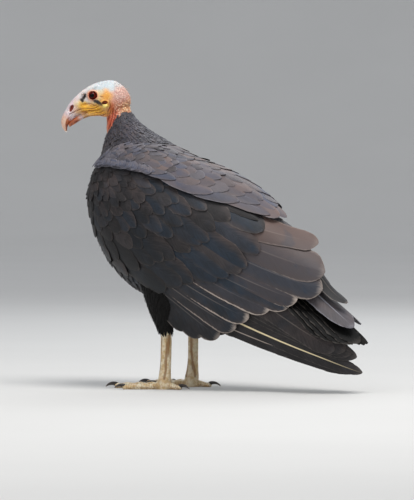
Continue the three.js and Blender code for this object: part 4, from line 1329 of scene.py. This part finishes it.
def lay_cape(tract):
    """Rows of feathers over both shoulders, larger towards the rear and longer along the rim."""
    outline = vane_outline(tract.shares, root=0.4, shoulder=0.4, tip=0.4, blunt=1.9, narrow=0.1)
    for row in range(CAPE_ROWS):
        t = ((row + 3) / (CAPE_ROWS + 2)) ** 1.55
        before = ((row + 0.6 - 0.02 * row) / (CAPE_ROWS + 2)) ** 1.55 - 0.02
        width = np.interp(t, (0, 0.3, 1), (9, 13, 20))
        girth = walk(CAPE.at(cape_place(np.linspace(-1, 1, 80), np.full(80, t)))[0])
        count = max(int(girth / width) | 1, 5)
        b = (np.arange(count) + 0.5 + 0.5 * (row % 2 - 0.5) + rng.normal(0, 0.08, count)) / count * 2 - 1
        b = b[np.abs(b) < 1.02]
        count = len(b)
        # Behind the middle the right half's last feathers are shorter, so that the left half lies over them.
        short = 0.1 * smooth_step(t, 0.8, 1) * smooth_step(b, 0.1, -0.12)
        tips = t + rng.normal(0, 0.012, count) - short
        rim = smooth_step(np.abs(b), 0.72, 0.95)
        start = before - 0.045 * rim
        lines = np.stack([cape_place(b * (1 - 0.02 * share), start + (tips - start) * share)
                          for share in tract.shares], 1)
        edge = smooth_step(np.abs(b), 0.8, 0.98) * smooth_step(t, 0.7, 0.5)
        shade = 0.2 * edge - 0.2 * math.sin(math.pi * min(t, 1)) + 0.1 * t
        tract.lay(CAPE, lines, width * (0.68 - 0.16 * rim) * vary(count, 0.07), outline, base=0.2,
                  rise=2.3 + 0.3 * rng.normal(0, 1, count).clip(-1, 1), thickness=0.42, cup=0.4,
                  roll=rng.normal(0, 0.4, count), flare=0.25 * rng.random(count), ragged=0.03,
                  tone=0.5 + 0.42 * rng.random(count) + shade,
                  blue=0.55 * (rng.random(count) > 0.5) + 0.3 * edge,
                  warm=0.8 * rng.random(count) * (1 - edge) * smooth_step(t, 0.1, 0.3),
                  fringe=0.06 + 0.2 * rng.random(count), quill=0.04 + 0.2 * (t > 0.7) * rng.random(count),
                  span=walk(CAPE.at(lines)[0]) / 3, reach=width / 4)


def lay_hem(tract):
    """The cape's loose front edge: small overlapping feathers that hang out over the shoulder of the wing."""
    outline = vane_outline(tract.shares, root=0.5, shoulder=0.4, tip=0.35, blunt=1.8, narrow=0.2)
    count, end = 34, 0.42
    for row, (b_root, b_tip, off) in enumerate(((0.87, 0.99, 0.3), (0.90, 1.02, 0.8))):
        for hand in (1, -1):
            t = (np.arange(count) + 0.5 + 0.5 * row + rng.normal(0, 0.25, count)) / count * end
            back = 0.07 + 0.03 * t
            b_end = b_tip + 0.012 * np.sin(t * 60 + row) + rng.normal(0, 0.01, count)
            lines = np.stack([cape_place(hand * (b_root + (b_end - b_root) * share), t - back * (1 - share))
                              for share in tract.shares], 1)
            size = np.interp(t, (0, end), (0.9, 1.2)) * vary(count, 0.12)
            tract.lay(CAPE, lines, 4.6 * size, outline, base=0.4 + off, rise=2.0 + 0.6 * rng.random(count),
                      thickness=0.4, cup=0.3, roll=rng.normal(0, 0.3, count), flare=0.4 * rng.random(count),
                      ragged=0.05, hand=hand, tone=1.3 + 0.15 * rng.random(count), blue=0.6,
                      warm=0.0, fringe=0.25, quill=0.0, span=7, reach=2.3)


cape_shares = (0, 0.16, 0.32, 0.48, 0.62, 0.74, 0.84, 0.92, 0.97, 1)
cape = Tract(cape_shares, (-1, -0.7, -0.35, 0, 0.35, 0.7, 1), shaft=0.1)
lay_cape(cape)
lay_hem(cape)
mantle = cape.make("mantle", MANTLE)
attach(mantle, "root")
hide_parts("scapulars_left", "scapulars_right")

# ---- Body feathers ----
# The close, soft covering of the neck, breast, belly and thighs: a short fuzzy ruff where the bare skin ends,
# then rounded feathers that grow larger down the breast, and shaggy ones on the thighs.
BREAST_WIDTHS = [13, 17.5, 24, 40, 60, 68, 70, 70, 62, 46, 30, 17, 7]
COAT_KEYS = [(y, z, w, up, down) for (y, z, _, up, down), w in zip(BODY_KEYS, BREAST_WIDTHS)]
COAT_FULLNESS = 2.5
BODY = Sheet(loft_grid(in_middle(COAT_KEYS), 150, 120, fullness=COAT_FULLNESS), wraps=True)


def lay_body(tract, span, sizes, spacing, keep, base, tones, outline, loose=0.1):
    """Feathers over a span of the body, where keep says. Sizes, spacings and tones change along the span."""
    roots = staggered(BODY, *span, (spacing[0] * 0.95, spacing[1] * 0.95), spacing)
    points, normals, down, _ = BODY.at(roots)
    roots = roots[keep(points, normals)]
    points, normals, down, _ = BODY.at(roots)
    count = len(roots)
    here = (roots[:, 0] - span[0]) / (span[1] - span[0])
    lengths = np.interp(here, (0, 1), sizes) * vary(count, 0.12)
    headings = unit(down) + rng.normal(0, loose, (count, 3))
    lines = BODY.stroll(roots, headings, lengths, tract.shares)
    half = np.interp(here, (0, 1), spacing) * 0.66 * vary(count, 0.1)
    low = base(points)
    # Feathers that face forwards are painted darker, the more so down the body: painted shade on the
    # underside.
    tract.lay(BODY, lines, half, outline, base=low, rise=0.5 - low + 0.3 * rng.random(count), thickness=0.3,
              cup=0.25, roll=rng.normal(0, 0.15, count), flare=0.2 * rng.random(count), ragged=0.06,
              tone=np.interp(here, (0, 1), tones) - 0.2 * smooth_step(-normals[:, 1], 0, 0.7) * here
              + 0.15 * rng.random(count), blue=0.4 + 0.3 * rng.random(count), warm=0.3 * rng.random(count),
              fringe=0.06, quill=0.0, span=lengths / 3, reach=half / 2)


body = Tract(SMALL_SHARES, SMALL_ACROSS)
soft = vane_outline(body.shares, root=0.5, tip=0.6, blunt=1.4, narrow=0.1)
full_vane = vane_outline(body.shares, root=0.45, tip=0.5, blunt=1.8, narrow=0.12)
lay_body(body, (0.02, 0.33), (7, 15), (2.6, 5.2), lambda p, n: ruff_drop(p) > -0.6,
         lambda p: -np.clip(ruff_drop(p) * 0.12, 0.1, 0.9), (0.4, 0.25), soft, 0.2)
breast = Tract(SMALL_SHARES, SMALL_ACROSS)
lay_body(breast, (0.33, 0.98), (16, 28), (7, 12), lambda p, n: (n[:, 2] < 0.45) & (p[:, 2] > 60),
         lambda p: np.full(len(p), -2.0), (0.4, -0.1), full_vane)
# Fine down along the ruff's edge hides where the first feathers begin.
roots = staggered(BODY, 0.0, 0.2, (1.7, 1.7), (1.9, 1.9))
roots = roots[np.abs(ruff_drop(BODY.at(roots)[0]) - rng.uniform(-1.2, 2.4, len(roots))) < 1.0]
count = len(roots)
headings = unit(BODY.at(roots)[2]) + rng.normal(0, 0.35, (count, 3))
lines = BODY.stroll(roots, headings, 5.5 * vary(count, 0.2), body.shares)
body.lay(BODY, lines, vary(count, 0.2), soft, base=-0.6, rise=1.5, thickness=0.25, cup=0.1,
         flare=0.8 * rng.random(count), ragged=0.1, tone=0.35 + 0.3 * rng.random(count), blue=0.4, warm=0.1,
         fringe=0.0, quill=0.0, span=1.8, reach=0.5)
for name, tract, paint in (("neck_feathers", body, MANTLE), ("breast_feathers", breast, PLUME)):
    piece = tract.make(name, paint)
    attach(piece, "root")

shag = Tract(SMALL_SHARES, SMALL_ACROSS)
shaggy = vane_outline(shag.shares, root=0.6, tip=0.7, blunt=1.3, narrow=0.06)
thigh = loft_grid(THIGH_KEYS, 60, 60)
for grid in (thigh, mirrored(thigh)):
    sheet = Sheet(grid, wraps=True)
    roots = staggered(sheet, 0.03, 0.66, (4.5, 3.4), (5.0, 3.4))
    count = len(roots)
    lengths = np.interp(roots[:, 0], (0, 0.66), (20, 11)) * vary(count, 0.15)
    headings = sheet.at(roots)[2] / 100 + rng.normal(0, 0.1, (count, 3))
    lines = sheet.stroll(roots, headings, lengths, shag.shares)
    shag.lay(sheet, lines, np.interp(roots[:, 0], (0, 1), (3.2, 1.9)), shaggy, base=-1.6, rise=2.2,
             thickness=0.3, cup=0.3, flare=1.2 * rng.random(count), ragged=0.08,
             tone=0.3 + 0.5 * rng.random(count), blue=0.0, warm=0.2 * rng.random(count), fringe=0.0,
             quill=0.0, span=lengths / 3, reach=1.2)
thighs = shag.make("thigh_feathers", BLACK)
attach(thighs, "root")

# ---- Tail ----
# Twelve stiff feathers are folded into a roof over one another, the middle pair on top, and short coverts lie
# over their roots.
TAIL_ROOT, TAIL_SLOPE, TAIL_ROOF, TAIL_PAIRS = (0, 119, 200), math.radians(39), math.radians(34), 6
TAIL_BEFORE, TAIL_LENGTH, TAIL_HALF = 30, 240, 90
out, back = np.meshgrid(np.linspace(-TAIL_HALF, TAIL_HALF, 61), np.linspace(-TAIL_BEFORE, TAIL_LENGTH, 60))
sink = math.tan(TAIL_ROOF) * (np.sqrt(out**2 + 16) - 4)
tail_grid = np.stack([out, TAIL_ROOT[1] + back * math.cos(TAIL_SLOPE) - sink * math.sin(TAIL_SLOPE),
                      TAIL_ROOT[2] - back * math.sin(TAIL_SLOPE) - sink * math.cos(TAIL_SLOPE)], -1)
TAIL = Sheet(tail_grid, inside=(0, 100, 60))
square = vane_outline(QUILL_SHARES, root=0.4, shoulder=0.5, tip=0.12, blunt=2.4, narrow=0.06)
lance = vane_outline(QUILL_SHARES, root=0.4, shoulder=0.5, tip=0.26, blunt=2.2, narrow=0.06)
middle_pair, outer_pairs = (Tract(QUILL_SHARES, QUILL_ACROSS, shaft=0.5) for _ in range(2))
# The left feather of each pair lies over the right one.
for s in (1, -1):
    for i in range(TAIL_PAIRS):
        length, lower = (206 - 1.4 * i * i if i else 184 + 3 * s), 0.9 * (s < 0)
        along, yaw = QUILL_SHARES * length, math.radians(0.4 + 0.9 * i)
        out, back = s * ((6 if i else 9) + 3.4 * i + along * math.sin(yaw)), along * math.cos(yaw)
        line = np.stack([(back + TAIL_BEFORE) / (TAIL_LENGTH + TAIL_BEFORE),
                         (out + TAIL_HALF) / (2 * TAIL_HALF)], -1)[None]
        same = {"thickness": 0.6, "roll": -s * 0.8 * i, "hand": s, "bake": atlas(1, 2 * i + (s > 0)),
                "blue": 0.15, "warm": 0.2, "span": length / 3, "reach": 7}
        if i:
            outer_pairs.lay(TAIL, line, 15 - 0.4 * i, square, base=-1.3 * i - lower, rise=0, cup=0.8,
                            ragged=0.05, tone=0.1, fringe=0.15, quill=0.1, **same)
        else:
            middle_pair.lay(TAIL, line, 17, lance, base=2 - lower, rise=8, cup=1.5, ragged=0.012,
                            tone=0.45, fringe=0.3, quill=0.5, **same)
# The rump and the coverts over the tail's roots lie under the folded tertials; one long one shows past them.
RUMP_LINE = [(80, 240), (125, 232), (156, 219), (182, 196), (206, 158), (230, 130), (260, 112)]
out, share = np.meshgrid(np.linspace(-50, 50, 41), np.linspace(0, 1, 50))
ridge = row_at(RUMP_LINE, share[:, 0])[:, None]
rump_grid = np.stack([out, ridge[..., 0] + 0 * out, ridge[..., 1] - 0.75 * (np.sqrt(out**2 + 36) - 6)], -1)
RUMP = Sheet(rump_grid, inside=(0, 130, 60))
rump = Tract(COVERT_SHARES, COVERT_ACROSS, shaft=0.2)
long_vane = vane_outline(rump.shares, root=0.45, tip=0.4, blunt=2.0, narrow=0.1)
for row, t_tip in enumerate((0.34, 0.42, 0.5, 0.58, 0.67, 0.76)):
    count = 5 - row % 2
    across = 0.5 + (np.arange(count) - (count - 1) / 2) * 0.12 + rng.normal(0, 0.01, count)
    tips = t_tip + rng.normal(0, 0.012, count) - 0.5 * np.abs(across - 0.5) ** 1.5
    lines = np.stack(np.broadcast_arrays(tips[:, None] - 0.24 * (1 - rump.shares), across[:, None]), -1)
    rump.lay(RUMP, lines, 9.5, long_vane, base=-1.5, rise=2.6, thickness=0.5, cup=1.2, ragged=0.03,
             tone=0.35 + 0.35 * rng.random(count), blue=0.3, warm=0.4, fringe=0.15, quill=0.1, span=18,
             reach=4)
lines = np.stack([0.95 - 0.4 * (1 - rump.shares), 0.54 + 0.04 * rump.shares], -1)[None]
rump.lay(RUMP, lines, 11, long_vane, base=0, rise=4.0, thickness=0.5, cup=1.0, ragged=0.03, tone=-0.15,
         blue=0.1, warm=0.2, fringe=0.3, quill=0.2, span=28, reach=4, seed=0.4)
for name, tract, paint in (("tail_middle", middle_pair, MANTLE), ("tail_outer", outer_pairs, BLACK),
                           ("tail_coverts", rump, PLUME)):
    piece = tract.make(name, paint)
    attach(piece, "root")
    if name == "tail_outer":
        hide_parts("tail")

# ---- Bill ----
# Pale horn over the front of both jaws: the upper one drops in a strong hook with a white point, and its
# inner edge is stained rust red.


def horn_of(keys, rings, sides, edge, under):
    """The rings of a bill's loft that lie past its edge, with a little more of it under the skin there."""
    grid = loft_grid(headed(keys), rings, sides, side=TO_RIGHT)
    beyond = past(grid, edge)
    return grid[beyond > -under], beyond[beyond > -under, None]


def swollen(rings, swell):
    return rings + unit(rings - rings.mean(1, keepdims=True)) * swell[..., None]


horn_rings, past_edge = horn_of(SKULL_KEYS, 300, 96, HORN_EDGE, 1.6)
around = (np.arange(96) / 96 * 2 * math.pi)[None]
reach = np.linspace(0, 1, len(horn_rings))[:, None]
lip = 0.1 * smooth_step(past_edge, -1.6, -0.9) * (1 - 0.8 * smooth_step(past_edge, 1.0, 6.0))
edge_groove = np.exp(-(((np.sin(around) + 0.42) / 0.13) ** 2))
swell = lip - 0.55 * edge_groove * np.sin(math.pi * np.clip(reach * 1.15, 0, 1)) ** 0.5
swell = swell + 0.06 * np.sin(reach * 46 + 1.5 * np.sin(around)) * (1 - reach)
horn_rings = swollen(horn_rings, swell)
chin_rings, past_chin = horn_of(JAW_KEYS, 200, 72, CHIN_EDGE, 1.2)
chin_rings = swollen(chin_rings, -0.9 * smooth_step(past_chin, 1.6, -1.0))

horn = Paint("bill_horn")
run, low, tip = horn.own("run"), horn.own("low"), horn.own("tip")
grain = horn.noise(260, 4, 0.6)
streak = horn.noise(150, 3, 0.6)
horn_colour = horn.mix((0.5 * streak + 0.5 * grain).ramp(0.3, 0.7), tint("e3b096"), tint("f3d0b8"))
stain = (low + (streak - 0.5) * 0.6 + (grain - 0.5) * 0.4).ramp(0.3, 0.75)
rust = horn.mix(streak.ramp(0.35, 0.65), tint("7e2f18"), tint("c66d3f"))
horn_colour = horn.mix(stain * 0.95, horn_colour, rust)
horn_colour = horn.mix((run + (grain - 0.5) * 0.25).ramp(0.26, 0.02), horn_colour, tint("d9c2c4"))
horn_colour = horn.mix(tip.ramp(0.0, 1.0), horn_colour, tint("f6f0e4"))
horn.finish(horn_colour, 0.24 + 0.16 * grain, 0.6 * streak + 0.4 * grain, 0.00015, Subsurface_Weight=0.1,
            Subsurface_Radius=(0.003, 0.0015, 0.001), Subsurface_Scale=0.4)
for name, rings, node in (("bill_upper_horn", horn_rings, "bill_upper"),
                          ("bill_lower_horn", chin_rings, "bill_lower")):
    piece = clay(name, shell_of(from_head(rings)))
    count, sides = rings.shape[:2]
    share = np.repeat(np.linspace(0, 1, count), sides)
    angle = np.tile(2 * math.pi * np.arange(sides) / sides, count)
    if node == "bill_upper":
        low = smooth_step(np.sin(angle), 0.35, -0.6) * smooth_step(share, 0.0, 0.12)
        tip, point = smooth_step(share, 0.86, 0.95), 1
    else:
        low = 0.55 + 0.45 * smooth_step(share, 0.15, 0.6)
        tip, point = smooth_step(share, 0.85, 1.0) * 0.5, 0
    # The last two of each are for the points that the ends are closed on.
    for mark, values in (("run", [*share, 0, 1]), ("low", [*low, 0, 0]), ("tip", [*tip, 0, point])):
        carry(piece.data, mark, values)
    piece.data.materials.append(horn.material)
    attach(piece, "root")
    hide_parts(node)

# ---- Eyes ----
# Two wet balls lie deep in their lids, turned a little forwards. Each has a black pupil in a dark red iris,
# under a clear bulge that catches the light.
EYE_SIDE, EYE_TURN, SPOKES = 11.6, 0.16, 64
PUPIL_EDGE, IRIS_EDGE = (3.2, 2.5), (4.5, 5.0)
turn = 2 * math.pi * np.arange(SPOKES) / SPOKES
polar = np.concatenate([np.linspace(0.02, 1.15, 40), np.linspace(1.2, math.pi - 0.05, 22)])[:, None]
bulge = EYE_RADIUS + 0.5 * smooth_step(np.cos(polar), math.cos(0.85), 1)
reach = bulge * np.sin(polar)
eye_shells = []
for s in (1, -1):
    left, back = turned(s * bulge * np.cos(polar) + 0 * turn, reach * np.cos(turn), -EYE_TURN * s)
    ball_points = np.stack([left, back, reach * np.sin(turn)], -1)
    eye_shells.append(shell_of(from_head(ball_points + (s * EYE_SIDE, -EYE_AHEAD, EYE_HEIGHT))))
eyes = clay("eyes", *eye_shells)
# Each point carries how wide of the pupil's middle it lies, and on which spoke. Behind the iris all is wide.
wide = np.repeat(np.where(polar > 1.4, 9, reach)[:, 0], SPOKES)
for mark, values, ends in (("wide", wide, [0, 9]), ("ray_x", np.tile(np.cos(turn), len(polar)), [0, 0]),
                           ("ray_y", np.tile(np.sin(turn), len(polar)), [0, 0])):
    carry(eyes.data, mark, np.tile([*values, *ends], 2))
eye = Paint("iris")
wide = eye.own("wide")
rays = eye.noise(1.0, 3, 0.6, eye.point(eye.own("ray_x") * 7, eye.own("ray_y") * 7, wide * 0.35))
eye_colour = eye.mix(rays.ramp(0.3, 0.7), tint("3c0b09"), tint("681a12"))
eye_colour = eye.mix(wide.ramp(*IRIS_EDGE), eye_colour, tint("5a1a0e"))
eye_colour = eye.mix((wide + (rays - 0.5) * 0.3).ramp(*PUPIL_EDGE), eye_colour, tint("040303"))
eye.finish(eye_colour, 0.3, Coat_Weight=0.28, Coat_Roughness=0.03, Specular_IOR_Level=0.0)
eyes.data.materials.append(eye.material)
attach(eyes, "root")
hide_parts("eye_left", "eye_right")

# ---- Claws ----
# Each toe ends in a claw of dark, blunt horn. It bends down to the floor, with a groove along its underside,
# and is worn paler at the point.
claw = Paint("claw_horn")
run, wear = claw.own("run"), claw.noise(400, 4, 0.6)
claw_colour = claw.mix((run + (wear - 0.5) * 0.5).ramp(0.2, 1.0), tint("27211f"), tint("4e4641"))
claw_colour = claw.mix((run + (wear - 0.5) * 0.2).ramp(0.86, 1.0), claw_colour, tint("8a7a68"))
claw.finish(claw_colour, 0.3 + 0.25 * wear, wear, 0.00015)
for toe, (bearing, length, radius, _, reach) in TOES.items():
    bend, root = reach / 1.25, radius * (1 - TOE_TAPER) * 0.85
    keys = []
    for t in np.linspace(0, 1, 12):
        a, r = 0.45 - 1.25 * t, root * (1 - t) ** 0.7 + 0.35
        keys.append((0, -(length - 2 + bend * (math.sin(0.45) - math.sin(a))),
                     4.2 + bend * (math.cos(a) - math.cos(0.45)), 0.72 * r, r, r * 0.92))
    rings = loft_grid(keys, 40, 28, side=TO_RIGHT)
    belly = np.exp(-(((np.sin(2 * math.pi * np.arange(28) / 28) + 0.8) / 0.25) ** 2))[None, :, None]
    rings = rings + (rings.mean(1, keepdims=True) - rings) * 0.12 * belly
    for name, grid in (("left", at_foot(rings, bearing)), ("right", mirrored(at_foot(rings, bearing)))):
        grid[..., 2] = np.maximum(grid[..., 2], 0.4)
        piece = clay(f"claw_horn_{toe}_{name}", shell_of(grid))
        carry(piece.data, "run", [*np.repeat(np.linspace(0, 1, 40), 28), 0, 1])
        piece.data.materials.append(claw.material)
        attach(piece, "root")
        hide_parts(f"claw_{toe}_{name}")

# ---- Bristles ----
# Stiff black bristles stand on the dark patches before and behind each eye, and sparse pale down grows on the
# nape. Both are thin cones, strewn over the skin by one tree of geometry nodes.
bristle_tree = bpy.data.node_groups.new("bristles", "GeometryNodeTree")
sockets = {}
bristle_tree.interface.new_socket("Geometry", in_out="OUTPUT", socket_type="NodeSocketGeometry")
for label, kind in (("Skin", "Geometry"), ("Zone", "String"), ("Density", "Float"), ("Length", "Float"),
                    ("Thickness", "Float"), ("Lean", "Vector"), ("Seed", "Int"), ("Material", "Material")):
    given = bristle_tree.interface.new_socket(label, in_out="INPUT", socket_type=f"NodeSocket{kind}")
    sockets[label] = given.identifier


def geo(kind, settings=None, *first, **inputs):
    """Adds a node: its settings, then links to its first inputs, then its named inputs' values or links."""
    made = bristle_tree.nodes.new(kind)
    for key, setting in (settings or {}).items():
        setattr(made, key, setting)
    wanted = [*enumerate(first), *((key.replace("_", " "), given) for key, given in inputs.items())]
    for key, given in wanted:
        if isinstance(given, bpy.types.NodeSocket):
            bristle_tree.links.new(given, made.inputs[key])
        else:
            made.inputs[key].default_value = given
    return made


given = geo("NodeGroupInput").outputs
zone = geo("GeometryNodeInputNamedAttribute", {"data_type": "FLOAT"}, Name=given["Zone"]).outputs["Attribute"]
density = geo("ShaderNodeMath", {"operation": "MULTIPLY"}, zone, given["Density"]).outputs[0]
spread = geo("GeometryNodeDistributePointsOnFaces", Mesh=given["Skin"], Density=density,
             Seed=given["Seed"]).outputs
hair = geo("GeometryNodeMeshCone", {"fill_type": "NGON"}, Vertices=4, Radius_Top=0.00002,
           Radius_Bottom=given["Thickness"], Depth=given["Length"]).outputs["Mesh"]
lean = geo("ShaderNodeVectorMath", {"operation": "ADD"}, spread["Normal"], given["Lean"]).outputs[0]
wild = geo("FunctionNodeRandomValue", {"data_type": "FLOAT_VECTOR"}, Min=(-0.4, -0.4, -0.4),
           Max=(0.4, 0.4, 0.4), Seed=given["Seed"]).outputs["Value"]
way = geo("ShaderNodeVectorMath", {"operation": "ADD"}, lean, wild).outputs[0]
aim_at = geo("FunctionNodeAlignRotationToVector", {"axis": "Z"}, Vector=way).outputs["Rotation"]
size = geo("FunctionNodeRandomValue", {"data_type": "FLOAT"}, Seed=given["Seed"])
size.inputs[2].default_value, size.inputs[3].default_value = 0.6, 1.3
stand = geo("GeometryNodeInstanceOnPoints", Points=spread["Points"], Instance=hair, Rotation=aim_at)
bristle_tree.links.new(size.outputs[1], stand.inputs["Scale"])
grown = geo("GeometryNodeRealizeInstances", Geometry=stand.outputs["Instances"]).outputs[0]
painted = geo("GeometryNodeSetMaterial", Geometry=grown, Material=given["Material"]).outputs[0]
geo("NodeGroupOutput", Geometry=painted)

black_hair = Paint("bristle")
black_hair.finish(black_hair.mix(black_hair.noise(500), tint("141212"), tint("2c2826")), 0.5)
pale_down = Paint("nape_down")
pale_down.finish(pale_down.mix(pale_down.noise(500), tint("8d8074"), tint("d8cabb")), 0.6)
for name, zone, density, length, thickness, lean, seed, paint in (
        ("eye_bristles", "soot", 1.7e6, 0.0021, 0.00013, (0, 0.9, -0.6), 3, black_hair),
        ("nape_down", "fuzz", 1.3e5, 0.0034, 0.00008, (0, 0.5, -0.5), 5, pale_down)):
    piece = linked(name, skin_mesh)
    grow = piece.modifiers.new("grow", "NODES")
    grow.node_group = bristle_tree
    for label, value in (("Zone", zone), ("Density", density), ("Length", length), ("Thickness", thickness),
                         ("Lean", lean), ("Seed", seed), ("Material", paint.material)):
        grow[sockets[label]] = value
    made = as_modified(piece)
    piece.modifiers.clear()
    piece.data = made
    for mark in (*HEAD_ZONES, "crease_shade", "wart", "hole_shade", "fuzz", "leg", "plume"):
        if mark in made.attributes:
            made.attributes.remove(made.attributes[mark])
    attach(piece, "root")
